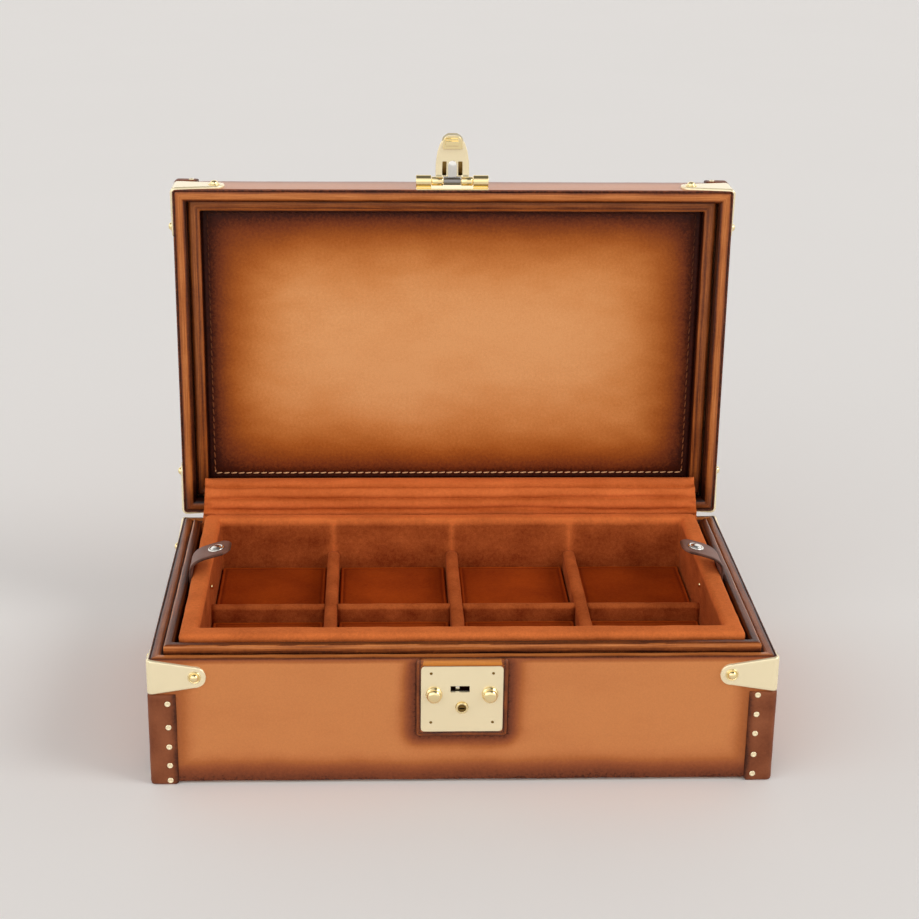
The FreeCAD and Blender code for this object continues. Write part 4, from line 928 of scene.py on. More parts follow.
def lock_bridge():
    """Glossy roll of leather that bridges the lock plate to the rim."""
    low, high = plate_high.z + 0.25, RIM_Z - 0.1
    half = (plate_high.x - plate_low.x) / 2 - 0.2
    middle = (plate_low.x + plate_high.x) / 2
    waist = low + (high - low) * 0.4
    rows, columns, end = 12, 40, 2.6
    section = []
    for k in range(rows + 1):
        share = (1 - math.cos(math.pi * k / rows)) / 2
        bulge = 1.35 * math.sin(math.pi * (0.08 + 0.86 * k / rows)) ** 0.6 - 0.9 * share**2
        section.append((low + (high - low) * share, -HALF_Y - 0.35 - max(0.0, bulge)))
    loop = [*section, (high, -HALF_Y + 0.3), (low, -HALF_Y + 0.3)]
    vertices, runs, girths = [], [], []
    for j in range(columns + 1):
        x = half * math.sin(math.pi / 2 * (2 * j / columns - 1))
        past = max(0.0, abs(x) - half + end) / end
        pull = 0.25 + 0.75 * math.sqrt(max(0.0, 1 - past**2))
        for k, (z, y) in enumerate(loop):
            depth = -HALF_Y + (y + HALF_Y) * (1.0 if k > rows else pull)
            vertices.append((middle + x, depth, waist + (z - waist) * pull))
            runs.append(x)
            girths.append(k * 0.6)
    bridge = make("lock_bridge", vertices, tube_faces(columns + 1, rows + 3, False))
    for title, values in (("run", runs), ("girth", girths)):
        bridge.data.attributes.new(title, "FLOAT", "POINT").data.foreach_set("value", values)
    tidy_normals(bridge)
    # painted shade: the roll darkens along its lower edge against the plate and its upper edge under the rim
    paint(bridge, lambda p: 0.12 + 0.75 * max(fade(p.z - low, 0.6), fade(high - p.z, 0.7)))
    finish_piece(bridge, BRIDGE, "rim", "base")


def lock():
    refined("lock_face", ["lock_plate"], BRASS, "brass", "base", 0.45, 4)
    front = Vector((0, -1, 0))
    face = plate_low.y
    stud = [(4.1, 0.0), (4.1, 0.35), (3.75, 0.8), (3.3, 1.0), (3.2, 1.25), (3.5, 1.6), (3.62, 2.2)]
    stud += [(3.45, 2.9), (3.0, 3.5), (2.3, 3.88), (1.4, 4.04), (0.6, 4.09), (0.05, 4.1)]
    spots = [(Vector(((a.x + b.x) / 2, face, (a.z + b.z) / 2)), front) for a, b in islands("lock_studs")]
    finish_piece(lathe("guide_stud_pair", stud, spots, 40), BRASS_DOMED, "brass", "base", "lock_studs")
    pin = [(0.75, 0.0), (0.72, 0.06), (0.5, 0.1), (0.3, 0.02), (0.04, 0.0)]
    spots = [(Vector(((a.x + b.x) / 2, face, (a.z + b.z) / 2)), front) for a, b in islands("lock_plate_pins")]
    finish_piece(lathe("plate_pin_heads", pin, spots, 14), BRASS_DARK, "brass", "base", "lock_plate_pins")
    refined("push_button", ["push_cylinder"], BRASS_DOMED, "brass", "push_button", 0.3, 3)
    refined("key_plug_face", ["key_plug"], BRASS_DARK, "brass", "key_plug", 0.06)
    refined("catch", ["lock_catch"], NICKEL, "steel", "catch", 0.08)
    refined("lock_box", ["lock_case"], STEEL, "steel", "base", 0.1)
    refined("springs", ["lock_springs"], STEEL, "steel", "base", 0.05)
    lock_surround()
    lock_bridge()


def hasp_blade():
    """Pressed hasp blade: tapering, slotted at the root, its tip curled back into a thumb lip."""
    low, high = box_mm("hasp_plate")
    pin = (box_mm("hasp_pin")[0] + box_mm("hasp_pin")[1]) / 2
    middle, half = (low.x + high.x) / 2, 9.3
    front = pin.y - 0.7
    curl_from, radius, turn = high.z - 4.4, 1.6, math.radians(54)
    widths = [(pin.z + up, w) for up, w in ((0, 9.3), (10, 9.2), (16, 8.4), (20, 7.2), (23, 5.8))]
    widths.append((high.z, 2.4))
    slot_x, slot_z = (3.3, 5.6), (pin.z + 3.2, pin.z + 11)
    columns = [-1, -0.8, slot_x[1] / -half, slot_x[0] / -half, -0.17, 0.0]
    columns += [-c for c in reversed(columns[:-1])]
    levels = [pin.z + 2.6, slot_z[0]] + [slot_z[0] + (slot_z[1] - slot_z[0]) * k / 4 for k in range(1, 5)]
    levels += [slot_z[1] + (curl_from - slot_z[1]) * k / 8 for k in range(1, 9)]
    arcs = [turn * k / 5 for k in range(1, 6)]

    def width(z):
        for (za, wa), (zb, wb) in zip(widths, widths[1:]):
            if z <= zb:
                t = max(0.0, (z - za) / (zb - za))
                return wa + (wb - wa) * (t if zb < high.z else t**2.2)
        return widths[-1][1]

    rows = [(z, front, z) for z in levels]
    for angle in arcs:
        rise = radius * math.sin(angle)
        rows.append((curl_from + rise, front + radius * (1 - math.cos(angle)), curl_from + rise))
    bent_z, bent_y = rows[-1][0], rows[-1][1]
    for k in range(1, 6):
        z = bent_z + (high.z - bent_z) * k / 5
        rows.append((z, bent_y + (z - bent_z) * math.tan(turn), z))
    vertices = [(middle + c * width(zw), y, z) for z, y, zw in rows for c in columns]
    size = len(columns)
    faces = []
    for i in range(len(rows) - 1):
        for j in range(size - 1):
            in_slot = slot_z[0] - 0.01 < rows[i][0] < slot_z[1] - 0.01 and j in (2, size - 4)
            if not in_slot:
                a = i * size + j
                faces.append((a, a + 1, a + 1 + size, a + size))
    blade = make("hasp_blade", vertices, faces)
    solid = blade.modifiers.new("gauge", "SOLIDIFY")
    solid.thickness = 1.3 * MM
    solid.offset = -1
    bevel = blade.modifiers.new("edges", "BEVEL")
    bevel.width = 0.3 * MM
    bevel.segments = 3
    bevel.limit_method = "ANGLE"
    finish_piece(blade, BRASS, "brass", "hasp", "hasp_plate")
    knuckle = [(2.3, -0.02), (2.5, 0.2), (2.5, 6.1), (2.3, 6.3)]
    spots = [(Vector((middle + sign * 5.0, pin.y, pin.z)), Vector((sign, 0, 0))) for sign in (-1, 1)]
    finish_piece(lathe("hasp_knuckles", knuckle, spots, 32), BRASS_DOMED, "brass", "hasp", "hasp_plate")
    for sign in (-1, 1):
        x = sorted((middle + sign * 5.0, middle + sign * 9.2))
        name = "hasp_web_1" if sign < 0 else "hasp_web_2"
        ends = (x[0], front, pin.z + 1.4), (x[1], front + 1.3, pin.z + 3.6)
        web = cushion(name, *ends, 0.3, 0.0, 0.7)
        finish_piece(web, BRASS, "brass", "hasp", "hasp_plate")
    # the backing fills the slots behind the blade; its dark brass is painted shade
    near, far = (middle - 7, front + 1.5, slot_z[0] - 1), (middle + 7, front + 2.4, slot_z[1] + 1.4)
    back = cushion("hasp_backing", near, far, 0.3, 0.0, 0.8)
    finish_piece(back, BRASS_DARK, "brass", "hasp", "hasp_plate")
    tongue = [(-2.5, slot_z[0] - 0.6), (-2.5, slot_z[1] - 1.4), (-1.6, slot_z[1] + 0.2), (0, slot_z[1] + 0.8)]
    tongue += [(-x, z) for x, z in reversed(tongue[:-1])]
    points = [(middle + x, front + y, z) for y in (-0.7, 0.1) for x, z in tongue]
    count = len(tongue)
    faces = [tuple(range(count)), tuple(reversed(range(count, 2 * count)))]
    faces += [(k, (k + 1) % count, count + (k + 1) % count, count + k) for k in range(count)]
    plate = make("hasp_tongue", points, faces)
    tidy_normals(plate)
    bevel = plate.modifiers.new("edges", "BEVEL")
    bevel.width = 0.25 * MM
    bevel.segments = 3
    finish_piece(plate, NICKEL, "steel", "hasp", "hasp_plate")


def hasp():
    refined("hasp_bracket_cast", ["hasp_bracket"], BRASS_DOMED, "brass", "lid", 0.3, 3)
    refined("hasp_pivot", ["hasp_pin"], BRASS, "brass", "lid", 0.1)
    refined("hasp_coil", ["hasp_spring"], STEEL, "steel", "lid", 0.1)
    hasp_blade()
    refined("hasp_catch_hook", ["hasp_hook"], BRASS_DOMED, "brass", "hasp", 0.25, 3)


def hinges():
    refined("hinge_pin_pair", ["hinge_pins"], BRASS, "brass", "base", 0.1)
    refined("hinge_base_pair", ["hinge_base_leaves"], BRASS, "brass", "base", 0.15)
    refined("hinge_lid_pair", ["hinge_lid_leaves"], BRASS, "brass", "lid", 0.15)
    refined("hinge_base_screw_set", ["hinge_base_screws"], BRASS, "brass", "base", 0.08)
    refined("hinge_lid_screw_set", ["hinge_lid_screws"], BRASS, "brass", "lid", 0.08)


# ---------------------------------------------------------------- lid


def lid_burnish(p):
    wander = 1 + 0.35 * cloudy(p, 34, 9)
    on_top = p.z > LID_TOP - 1.2
    from_side = min(HALF_X - abs(p.x), HALF_Y - abs(p.y))
    if on_top:
        return min(1.0, 0.9 * fade(from_side, 14 * wander))
    to_corner = HALF_X - abs(p.x) if abs(p.y) > HALF_Y - 1.5 else HALF_Y - abs(p.y)
    shade = max(0.75 * fade(LID_TOP - p.z, 5), 0.9 * fade(p.z - LID_RIM - 0.35, 0.8))
    return min(1.0, max(shade, 0.4 * fade(to_corner - 14, 7)) + 0.06)


def lid_shell():
    """Outer leather of the lid: side walls, rounded upper edge and a slightly crowned top."""
    edge, skin = 2.0, 0.8
    low = LID_RIM + 0.3
    nx, ny, arc = 100, 62, 6
    outline = rect_loop((-HALF_X, HALF_X, -HALF_Y, HALF_Y), 2.0, nx, ny, arc)
    rows = []
    levels = [low + (LID_TOP - edge - low) * k / 10 for k in range(11)]
    for level in levels:
        rows.append([(p.x, p.y, level) for p in outline])
    shrink = [(k / 5) for k in range(1, 6)]
    for t in shrink:
        angle = math.pi / 2 * t
        inset = edge * (1 - math.cos(angle))
        rect = (-HALF_X + inset, HALF_X - inset, -HALF_Y + inset, HALF_Y - inset)
        level = LID_TOP - edge + edge * math.sin(angle) - 0.35
        rows.append([(p.x, p.y, level) for p in rect_loop(rect, 2.0 + inset * 0.2, nx, ny, arc)])
    for inset in (4, 7, 11, 16, 22, 30, 40, 52, 66, 80, 92.5):
        crown = 0.35 * min(1.0, (inset - 2) / 30)
        rect = (-HALF_X + inset, HALF_X - inset, -HALF_Y + inset, HALF_Y - inset)
        rows.append([(p.x, p.y, LID_TOP - 0.35 + crown) for p in rect_loop(rect, 2.2, nx, ny, arc)])
    size = len(outline)
    vertices = [p for row in rows for p in row]
    faces = []
    for i in range(len(rows) - 1):
        for j in range(size):
            k = (j + 1) % size
            faces.append((i * size + j, i * size + k, (i + 1) * size + k, (i + 1) * size + j))
    faces.append(tuple(range((len(rows) - 1) * size, len(rows) * size)))
    shell = make("lid_leather", vertices, faces)
    tidy_normals(shell)
    thicken = shell.modifiers.new("skin", "SOLIDIFY")
    thicken.thickness = skin * MM
    thicken.offset = -1
    bpy.context.view_layer.update()
    graph = bpy.context.evaluated_depsgraph_get()
    mesh = bpy.data.meshes.new_from_object(shell.evaluated_get(graph))
    shell.modifiers.clear()
    shell.data = mesh
    ripple(shell, 0.1, 32, 8, lambda p: min(1.0, max(0.0, p.z - LID_RIM - 1) / 6))
    paint(shell, lid_burnish)
    finish_piece(open_lid(shell), LID_HIDE, "hide", "lid", "lid_leather_cover")


def lid_frames():
    z = LID_RIM
    face = AXIS_Z + (box_mm("lid_liner_frame")[0].y - AXIS_Y)
    back = AXIS_Z + (box_mm("lid_panel")[0].y - AXIS_Y)
    inset = LINER_IN + 0.15
    section = rolled(inset, z, z + 3.0, face + 0.4)
    bead = ring("lid_rim_roll", framed(SKIN), framed(inset), section, (1.6, 0.6), 3.0)
    ripple(bead, 0.18, 16, 10, lambda p: 1.0 if p.z < z + 1.5 else 0.0)
    paint(bead, rim_burnish_and_shade(z, 0.06, HALF_Y))
    finish_piece(open_lid(bead), RIM, "rim", "lid", "lid_rim_bead")

    width = 7.0
    in_x, in_y = HALF_X - LINER_IN - width, HALF_Y - LINER_IN - width
    profile = [(0.0, face + 2.6), (0.03, face + 1.1), (0.12, face + 0.3), (0.26, face), (0.42, face + 0.05)]
    profile += [(0.58, face + 0.25), (0.72, face + 0.6), (0.84, face + 0.75), (0.94, face + 1.0)]
    profile += [(1.0, face + 1.9), (1.0, (face + back) / 2), (1.0, back), (0.0, back)]
    liner = ring("lid_liner", framed(LINER_IN), (-in_x, in_x, -in_y, in_y), profile, (0.5, 1.0), 3.0)
    ripple(liner, 0.2, 15, 11, lambda p: 1.0 if p.z < face + 1.5 else 0.0)

    # painted shade: darker beside the panel, down towards it inside the recess and towards the hinge; a
    # darker line runs two millimetres out
    def shade(p):
        from_panel = max(abs(p.x) - in_x, abs(p.y) - in_y)
        deep = min(1.0, max(0.0, p.z - face - 1.2) / 1.0)
        seam = max(fade(width - from_panel, 1.2), fade(abs(from_panel - 2.0), 0.4) * 0.5)
        foot = fade(HALF_Y - p.y, 18)
        return min(1.0, 0.38 + 0.6 * max(seam, deep) + 0.35 * foot + 0.14 * cloudy(p, 18, 5))

    paint(liner, shade)
    finish_piece(open_lid(liner), RIM, "rim", "lid", "lid_liner_frame")
    return in_x, in_y, back


def lid_panel(in_x, in_y, back):
    """Padded leather panel in the lid, sewn down round its edge."""
    nx, ny = 150, 90
    seam = 3.2
    rise = 0.5
    level = back + 0.35
    vertices, faces = [], []
    for j in range(ny + 1):
        for i in range(nx + 1):
            x = in_x * (2 * i / nx - 1) * 1.004
            y = in_y * (2 * j / ny - 1) * 1.004
            edge = min(in_x - abs(x), in_y - abs(y))
            puff = rise * (1 - math.exp(-max(0.0, edge - seam) / 6.0))
            groove = 0.4 * math.exp(-(((edge - seam) / 0.7) ** 2))
            vertices.append((x, y, level - puff + groove - 0.2 * fade(edge, 1.4)))
    row = nx + 1
    for j in range(ny):
        for i in range(nx):
            a = j * row + i
            faces.append((a, a + row, a + 1 + row, a + 1))
    panel = make("lid_panel_leather", vertices, faces)
    thicken = panel.modifiers.new("pad", "SOLIDIFY")
    thicken.thickness = 1.1 * MM
    thicken.offset = -1
    bpy.context.view_layer.update()
    graph = bpy.context.evaluated_depsgraph_get()
    mesh = bpy.data.meshes.new_from_object(panel.evaluated_get(graph))
    panel.modifiers.clear()
    panel.data = mesh
    tidy_normals(panel)
    ripple(panel, 0.2, 40, 12)

    # painted shade: the panel darkens towards its edges, deepest in the corners, where the rim shades the
    # recess
    def shade(p):
        across, up = in_x - abs(p.x), in_y - abs(p.y)
        reach = 14 + 2.5 * cloudy(p, 45, 6) + 1.5 * cloudy((p.x, p.y * 2.2, p.z), 14, 3)
        clear_of_rim_shade = (1 - math.exp(-across / reach)) * (1 - math.exp(-up / (reach + 1.5)))
        return 1 - clear_of_rim_shade

    paint(panel, shade)
    finish_piece(open_lid(panel), PANEL, "suede_pad", "lid", "lid_panel")
    stitches("panel_stitches", in_x - seam, in_y - seam, level)


def stitches(name, half_x, half_y, level):
    """Row of saddle stitches round a rectangle, drawn in the closed lid."""
    pitch, length, radius = 4.4, 3.5, 0.42
    vertices, faces = [], []
    runs = []
    count = round(2 * half_x / pitch)
    for k in range(count):
        x = -half_x + 2 * half_x * (k + 0.5) / count
        runs += [(Vector((x, side * half_y, level)), Vector((1, -0.12 * side, 0))) for side in (-1, 1)]
    count = round(2 * half_y / pitch)
    for k in range(count):
        y = -half_y + 2 * half_y * (k + 0.5) / count
        runs += [(Vector((side * half_x, y, level)), Vector((-0.12 * side, 1, 0))) for side in (-1, 1)]
    rings, sides = 7, 8
    for centre, way in runs:
        way = way.normalized()
        across = way.cross(Vector((0, 0, 1)))
        base = len(vertices)
        for i in range(rings):
            t = i / (rings - 1)
            along = (t - 0.5) * length
            thin = max(0.15, math.sin(math.pi * (0.06 + 0.88 * t))) ** 0.5
            sink = 0.35 * (2 * t - 1) ** 4
            for k in range(sides):
                angle = 2 * math.pi * k / sides
                offset = across * math.cos(angle) * radius * thin
                lift = Vector((0, 0, math.sin(angle) * radius * thin * 0.8 + sink))
                vertices.append(centre + way * along + offset + lift)
        faces += [tuple(base + v for v in face) for face in tube_faces(rings, sides, False)]
    obj = make(name, vertices, faces)
    tidy_normals(obj)
    # painted shade: the bottom row stays light, the others darken towards the top of the open lid, under the
    # rim
    paint(obj, lambda p: 0.0 if p.y > half_y - 2 else (0.55 + 0.4 * (half_y - p.y) / (2 * half_y)))
    finish_piece(open_lid(obj), THREAD, "suede_pad", "lid")


# ---------------------------------------------------------------- tray

tray_low, tray_high = box_mm("tray_walls")
deck = box_mm("tray_floor_board")[1].z


def tray_walls():
    cells = islands("compartment_pads")
    gap = 0.7
    x0, x1 = min(c[0].x for c in cells) - gap, max(c[1].x for c in cells) + gap
    y0, y1 = min(c[0].y for c in cells) - gap, max(c[1].y for c in cells) + gap
    outer = (tray_low.x, tray_high.x, tray_low.y, tray_high.y)
    width = 9.2
    profile = wall_top(tray_low.z - 3.0, tray_high.z, 2.4, width, 6, 2.2)
    walls = ring("tray_walls_suede", outer, (x0, x1, y0, y1), profile, (2.2, 1.6), 2.6, 7)
    ripple(walls, 0.22, 10, 13)
    places = [(a[1].x + b[0].x) / 2 for a, b in zip(sorted(cells, key=cell_x), sorted(cells, key=cell_x)[2:])]

    def shade(p):
        mark = 0.0
        if p.y > y1 - 1.0 and p.z < tray_high.z - 1.0:
            for x in places[::2]:
                mark = max(mark, 0.5 * fade(abs(p.x - x), 1.9))
        # painted light and shade: the rounded tops lighter, the walls darker towards the tray floor
        lift = 0.42 if p.z > tray_high.z - 2.6 else -0.1 - 0.12 * fade(p.z - deck, 14)
        return lift + mark + 0.16 * cloudy(p, 14, 8)

    paint(walls, shade)
    finish_piece(walls, SUEDE, "suede", "tray", "tray_walls")


def cell_x(cell):
    return round(cell[0].x, 1)


def divider_blocks():
    for node, word in (("tray_long_dividers", "divider"), ("tray_cross_dividers", "cross_divider")):
        for i, (low, high) in enumerate(islands(node)):
            long_way = 1 if high.y - low.y > high.x - low.x else 0
            block = padded_bar(f"{word}_{i + 1}", low, high, long_way)
            ripple(block, 0.2, 8, 14 + i)
            top = high.z
            # painted light: the tops lighter than the sides
            paint(block, lambda p: (0.02 if p.z > top - 2.0 else -0.2) + 0.2 * cloudy(p, 10, 4))
            finish_piece(block, SUEDE, "suede", "tray", node)


def padded_bar(name, low, high, long_way):
    """Bar with a rounded top edge, running along X or Y."""
    across = 1 - long_way
    half = (high[across] - low[across]) / 2
    middle = (high[across] + low[across]) / 2
    count = max(4, int((high[long_way] - low[long_way]) / 2.5))
    section = []
    for k in range(5):
        section.append((-half, low.z + (high.z - half * 0.8 - low.z) * k / 5))
    for k in range(11):
        angle = math.pi * k / 10
        section.append((-half * math.cos(angle), high.z - half * 0.8 + half * 0.8 * math.sin(angle) ** 0.8))
    for k in range(4, -1, -1):
        section.append((half, low.z + (high.z - half * 0.8 - low.z) * k / 5))
    vertices = []
    for i in range(count + 1):
        along = low[long_way] + (high[long_way] - low[long_way]) * i / count
        for offset, z in section:
            point = [0, 0, z]
            point[long_way], point[across] = along, middle + offset
            vertices.append(point)
    bar = make(name, vertices, tube_faces(count + 1, len(section), False))
    tidy_normals(bar)
    return bar


def pads():
    for i, (low, high) in enumerate(islands("compartment_pads")):
        pad = cushion(f"pad_{i + 1}", low, high, 1.2, 0.5, 0.9, 0.35)
        ripple(pad, 0.2, 16, 20 + i)
        box_low, box_high = low.copy(), high.copy()

        def shade(p):
            edge = min(p.x - box_low.x, box_high.x - p.x, p.y - box_low.y, box_high.y - p.y)
            # painted highlight along the piping's cord and painted shade in the furrow inside it
            piping = 0.6 * fade(abs(edge - 0.7), 0.6) - 0.5 * fade(abs(edge - 2.1), 0.6)
            return piping + 0.3 * cloudy(p, 24, 6)

        paint(pad, shade)
        finish_piece(pad, PAD, "suede_pad", "tray", "compartment_pads")


def tray_trim():
    board = frame["nodes"]["tray_floor_board"]
    board.data.materials.clear()
    board.data.materials.append(SUEDE)
    head = [(1.5, -0.3), (1.5, 0.25), (1.3, 0.5), (0.9, 0.72), (0.4, 0.82), (0.04, 0.84)]
    spots = []
    for low, high in islands("tab_rivets"):
        sign = -1 if low.x < 0 else 1
        inner = high.x if sign < 0 else low.x
        spots.append((Vector((inner, (low.y + high.y) / 2, (low.z + high.z) / 2)), Vector((-sign, 0, 0))))
    finish_piece(lathe("tab_rivet_heads", head, spots, 18), BRASS_DOMED, "brass", "tray", "tab_rivets")


# ---------------------------------------------------------------- pull tabs


def strap(name, route, thick, half_width, low_y, high_y, clip):
    """Leather strap along a route in the XZ plane, with a clipped round tip."""
    lengths = [0.0]
    for a, b in zip(route, route[1:]):
        lengths.append(lengths[-1] + (b - a).length)
    total = lengths[-1]
    middle = (low_y + high_y) / 2
    loops = []
    for i, point in enumerate(route):
        before, after = route[max(0, i - 1)], route[min(len(route) - 1, i + 1)]
        way = (after - before).normalized()
        normal = Vector((-way.y, way.x))
        left = total - lengths[i]
        half = half_width - max(0.0, clip - left) * 0.9
        if left < 1.2:
            half -= (1.2 - left) * 1.2
        loop = []
        columns = 12
        for side in (1, -1):
            order = range(columns + 1) if side > 0 else range(columns, -1, -1)
            for k in order:
                t = -math.cos(math.pi * k / columns)
                near = min(half * (1 - abs(t)), left + 0.1, lengths[i] + 0.1)
                lack = max(0.0, 1 - near / 0.6)
                lift = side * thick / 2 * (0.25 + 0.75 * math.sqrt(max(0.0, 1 - lack * lack)))
                spot = point + normal * lift
                loop.append((spot.x, middle + half * t, spot.y))
        loops.append(loop)
    size = len(loops[0])
    obj = make(name, [p for loop in loops for p in loop], tube_faces(len(loops), size, False))
    tidy_normals(obj)
    return obj


def pull_tabs():
    for side, sign in (("left", -1), ("right", 1)):
        low, high = box_mm(f"tab_{side}")
        roots = islands("tab_anchors")
        root_low, root_high = roots[0] if sign < 0 else roots[-1]
        thick = 1.3
        x_root = (root_low.x + root_high.x) / 2
        tip = Vector((low.x if sign > 0 else high.x, high.z - thick * 0.55))
        rise = tray_high.z + 1.5
        route = [Vector((x_root, root_low.z + (rise - root_low.z) * k / 9)) for k in range(9)]
        pull = [
            Vector((x_root, rise)),
            Vector((x_root, rise + 6.0)),
            Vector((x_root - sign * 5.5, rise + 8.0)),
            tip,
        ]
        for k in range(33):
            t = k / 32
            weights = ((1 - t) ** 3, 3 * t * (1 - t) ** 2, 3 * t * t * (1 - t), t**3)
            route.append(sum((w * c for w, c in zip(weights, pull)), Vector((0, 0))))
        sweep = 3.0
        piece = strap(f"pull_tab_{side}", route, thick, 9.5, low.y, high.y, 4.2)
        reach = abs(tip.x - x_root)
        for v in piece.data.vertices:
            gone = max(0.0, min(1.0, abs(v.co.x / MM - x_root) / reach))
            v.co.y += sweep * gone**1.3 * MM
        ripple(piece, 0.12, 6, 30 + sign)
        tip_x = tip.x

        # painted shade on the strap's edges and round its tip
        def shade(p):
            gone = abs(p.x - x_root) / reach
            drift = sweep * gone**1.3
            from_side = min(p.y - low.y - drift, high.y + drift - p.y)
            return 0.22 + 0.6 * fade(from_side, 0.9) + 0.5 * fade(abs(p.x - tip_x), 1.0) + 0.25 * cloudy(p, 7)

        paint(piece, shade)
        piece.data.materials.append(TAB)
        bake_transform(piece)
        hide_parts(f"tab_{side}", "tab_anchors")
        snap_low, snap_high = box_mm(f"tab_snap_{side}")
        snap_x = (snap_low.x + snap_high.x) / 2
        k = min(range(len(route) - 1), key=lambda i: abs(route[i].x - snap_x) + (50 if i < 12 else 0))
        way = (route[k + 1] - route[k - 1]).normalized()
        out = Vector((way.y * -sign, 0, way.x * sign)) * (-1 if way.x * sign < 0 else 1)
        gone = abs(route[k].x - x_root) / reach
        middle = (low.y + high.y) / 2 + sweep * gone**1.3
        centre = Vector((route[k].x, middle, route[k].y)) + out * (thick / 2 - 0.05)
        disc = [(4.4, 0.0), (4.4, 0.35), (4.1, 0.7), (3.6, 0.8), (3.1, 0.62), (2.8, 0.6)]
        disc += [(2.6, 0.95), (2.1, 1.22), (1.2, 1.36), (0.5, 1.4), (0.05, 1.4)]
        snap = lathe(f"snap_{side}", disc, [(centre, out)], 32)
        finish_piece(snap, NICKEL, "brass", f"{side}_tab", f"tab_snap_{side}")


# ---------------------------------------------------------------- gusset


def gusset():
    """Suede strip over the hinge, creased along its length and puckered at its ends."""
    low, high = box_mm("hinge_gusset")
    wall = HALF_Y - 7 - 0.7
    crest = high.z - 0.6
    knots = [
        (wall, low.z + 0.8),
        (wall, RIM_Z - 2.4),
        (wall - 2.2, RIM_Z + 5),
        (wall - 1.8, RIM_Z + 12),
        (wall + 1.6, RIM_Z + 18.2),
        (AXIS_Y - 0.4, crest),
        (AXIS_Y + 5.4, crest - 1.2),
        (AXIS_Y + 8.6, crest - 4.4),
        (AXIS_Y + 16.4, crest - 4.7),
    ]
    points = [Vector(k) for k in knots]
    fine = []
    for i in range(len(points) - 1):
        p0, p1 = points[max(0, i - 1)], points[i]
        p2, p3 = points[i + 1], points[min(len(points) - 1, i + 2)]
        for k in range(9):
            t = k / 9
            a = 2 * p1 + (p2 - p0) * t + (2 * p0 - 5 * p1 + 4 * p2 - p3) * t * t
            fine.append((a + (3 * p1 - p0 - 3 * p2 + p3) * t**3) / 2)
    fine.append(points[-1])
    lengths = [0.0]
    for a, b in zip(fine, fine[1:]):
        lengths.append(lengths[-1] + (b - a).length)
    half, columns = 144.6, 150
    creases = [(lengths[22], 1.0, 1.0, 1.0), (lengths[30], 1.5, 0.9, 2.3), (lengths[39], 1.3, 1.0, 3.7)]
    vertices = []
    for i, p in enumerate(fine):
        way = (fine[min(len(fine) - 1, i + 1)] - fine[max(0, i - 1)]).normalized()
        normal = Vector((-way.y, way.x))
        hold = min(1.0, lengths[i] / 8, (lengths[-1] - lengths[i]) / 4)
        for j in range(columns + 1):
            x = half * (2 * j / columns - 1)
            lift = 0.0
            for place, depth, width, seed in creases:
                slow, quick = Vector((x / 70, seed, 0)), Vector((x / 14, seed, 5))
                drift = 1.6 * noise.noise(slow) + 0.5 * noise.noise(quick)
                lift -= depth * math.exp(-(((lengths[i] - place - drift) / width) ** 2))
            lift += 0.5 * noise.noise(Vector((x / 22, lengths[i] / 7, 3)))
            end = fade(half - abs(x), 5)
            lift += 1.3 * end * math.sin(lengths[i] * 0.9 + 1)
            shift = normal * lift * hold
            pinch = 1 - 0.02 * end * hold * math.sin(math.pi * lengths[i] / lengths[-1])
            vertices.append((x * pinch, p.x + shift.x, p.y + shift.y))
    row = columns + 1
    faces = []
    for i in range(len(fine) - 1):
        for j in range(columns):
            a = i * row + j
            faces.append((a, a + 1, a + 1 + row, a + row))
    strip = make("hinge_gusset_suede", vertices, faces)
    thicken = strip.modifiers.new("hide", "SOLIDIFY")
    thicken.thickness = 0.9 * MM
    thicken.offset = 0
    bpy.context.view_layer.update()
    graph = bpy.context.evaluated_depsgraph_get()
    mesh = bpy.data.meshes.new_from_object(strip.evaluated_get(graph))
    strip.modifiers.clear()
    strip.data = mesh
    mesh.shade_smooth()
    tidy_normals(strip)
    fold_lines = [(fine[i].x, fine[i].y) for i in (22, 30, 39)]

    # painted shade in the creases; the strip also darkens towards its ends
    def shade(p):
        crease_shade = max(fade(math.hypot(p.y - y, p.z - z) - 0.4, 1.3) for y, z in fold_lines)
        return 0.25 - 0.45 * crease_shade + 0.2 * cloudy((p.x / 4, p.y, p.z), 6, 2) - 0.2 * fade(half - abs(p.x), 4)

    paint(strip, shade)
    strip.data.materials.clear()
    strip.data.materials.append(SUEDE_LIGHT)
    end = (0, (AXIS_Y + 7) * MM, (crest - 2) * MM)
    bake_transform(strip)
    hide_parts("hinge_gusset")


# ---------------------------------------------------------------- hidden boards


def boards():
    for name, obj in frame["nodes"].items():
        if name.endswith("_board") and name != "tray_floor_board":
            obj.data.materials.clear()
            obj.data.materials.append(PLY)


# ---------------------------------------------------------------- floor, lights, camera


def stage():
    bpy.ops.mesh.primitive_plane_add(size=30, location=(0, 6, 0))
    floor = bpy.context.object
    floor.name = "floor"
    s = Shader("floor_pale", Roughness=0.9, Specular_IOR_Level=0.1)
    grey = s.noise(3, 2)
    s.set("Base Color", s.ramp(grey, [(0.0, (243, 241, 239)), (1.0, (245, 243, 241))]))
    floor.data.materials.append(s.material)


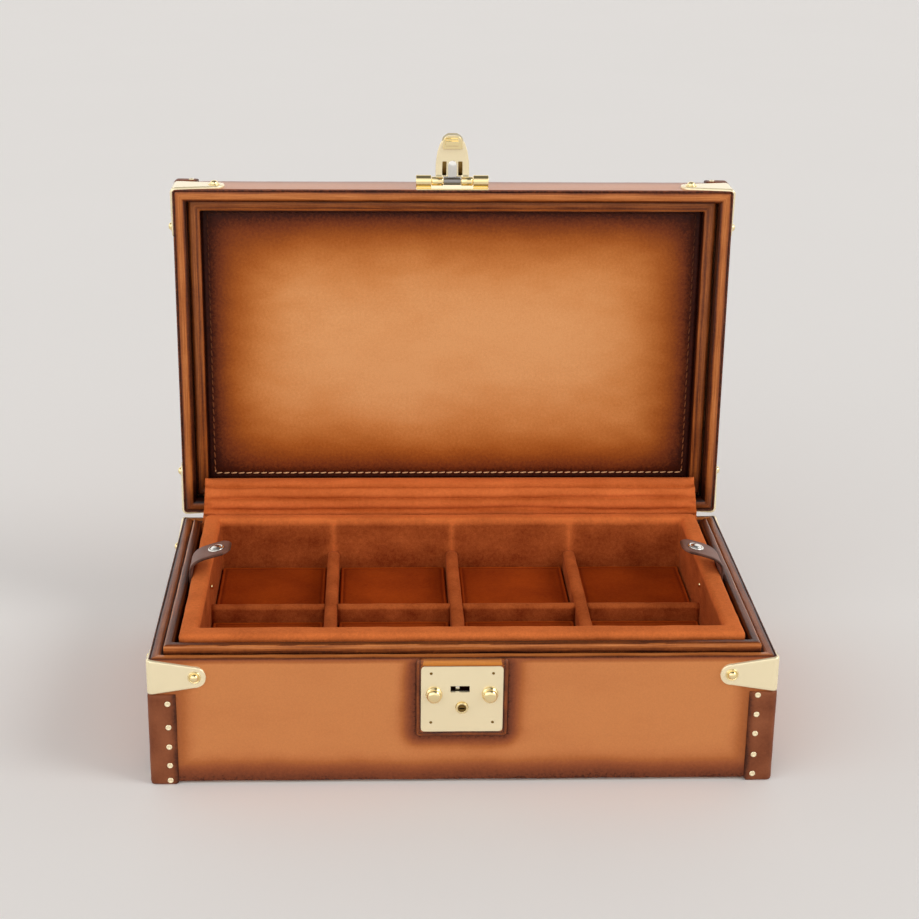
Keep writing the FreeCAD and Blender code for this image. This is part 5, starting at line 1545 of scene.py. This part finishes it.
def sky():
    """Bright studio round the sides, dimmer overhead."""
    world = bpy.data.worlds.new("studio")
    bpy.context.scene.world = world
    world.use_nodes = True
    nodes, links = world.node_tree.nodes, world.node_tree.links
    back = nodes["Background"]
    coord = nodes.new("ShaderNodeTexCoord")
    split = nodes.new("ShaderNodeSeparateXYZ")
    ramp = nodes.new("ShaderNodeValToRGB")
    elements = ramp.color_ramp.elements
    stops = [(0.0, 1.0), (0.5, 1.15), (0.74, 1.1), (0.82, 0.6), (0.88, 0.2), (1.0, 0.14)]
    while len(elements) < len(stops):
        elements.new(0.5)
    for element, (place, value) in zip(elements, stops):
        element.position = place
        element.color = (value, value * 0.975, value * 0.955, 1)
    shift = nodes.new("ShaderNodeMath")
    shift.operation = "MULTIPLY_ADD"
    shift.inputs[1].default_value = 0.5
    shift.inputs[2].default_value = 0.5
    links.new(coord.outputs["Generated"], split.inputs[0])
    links.new(split.outputs["Z"], shift.inputs[0])
    links.new(shift.outputs[0], ramp.inputs["Fac"])
    links.new(ramp.outputs["Color"], back.inputs["Color"])
    back.inputs["Strength"].default_value = 1.04


def lamp(name, kind, place, target, energy, size, colour=(1, 1, 1)):
    data = bpy.data.lights.new(name, kind)
    data.energy = energy
    data.color = colour
    if kind == "SUN":
        data.angle = size
    else:
        data.shape = "DISK"
        data.size = size
    obj = bpy.data.objects.new(name, data)
    bpy.context.scene.collection.objects.link(obj)
    obj.location = place
    obj.rotation_euler = (Vector(target) - Vector(place)).to_track_quat("-Z", "Y").to_euler()


def camera():
    """The photograph's view: a long lens from the front, looking down by about twenty degrees."""
    pitch, yaw, roll = (math.radians(a) for a in (20.02, 2.11, 0.62))
    forward = Vector((math.sin(yaw) * math.cos(pitch), math.cos(yaw) * math.cos(pitch), -math.sin(pitch)))
    side = Vector((math.cos(yaw), -math.sin(yaw), 0))
    up = side.cross(forward)
    side, up = (
        math.cos(roll) * side + math.sin(roll) * up,
        math.cos(roll) * up - math.sin(roll) * side,
    )
    data = bpy.data.cameras.new("view")
    data.lens = 75.2
    data.sensor_width = 36
    data.shift_x = 0.0182
    data.shift_y = 0.0066
    data.clip_end = 100
    obj = bpy.data.objects.new("view", data)
    bpy.context.scene.collection.objects.link(obj)
    matrix = Matrix((side, up, -forward)).transposed().to_4x4()
    matrix.translation = Vector((-0.04315, -0.94748, 0.48009))
    obj.matrix_world = matrix
    bpy.context.scene.camera = obj


base_leather()
base_rim()
soft_floor()
corners()
lock()
hasp()
hinges()
lid_shell()
lid_panel(*lid_frames())
tray_walls()
divider_blocks()
pads()
tray_trim()
pull_tabs()
gusset()
boards()
stage()
sky()
lamp("key", "SUN", (1.2, -0.45, 0.95), (0, 0, 0), 0.7, math.radians(26), (1, 0.985, 0.96))
lamp("fill", "SUN", (-0.9, -1.2, 1.3), (0, 0, 0.1), 0.6, math.radians(70))
camera()
bpy.context.scene.view_settings.view_transform = "Standard"
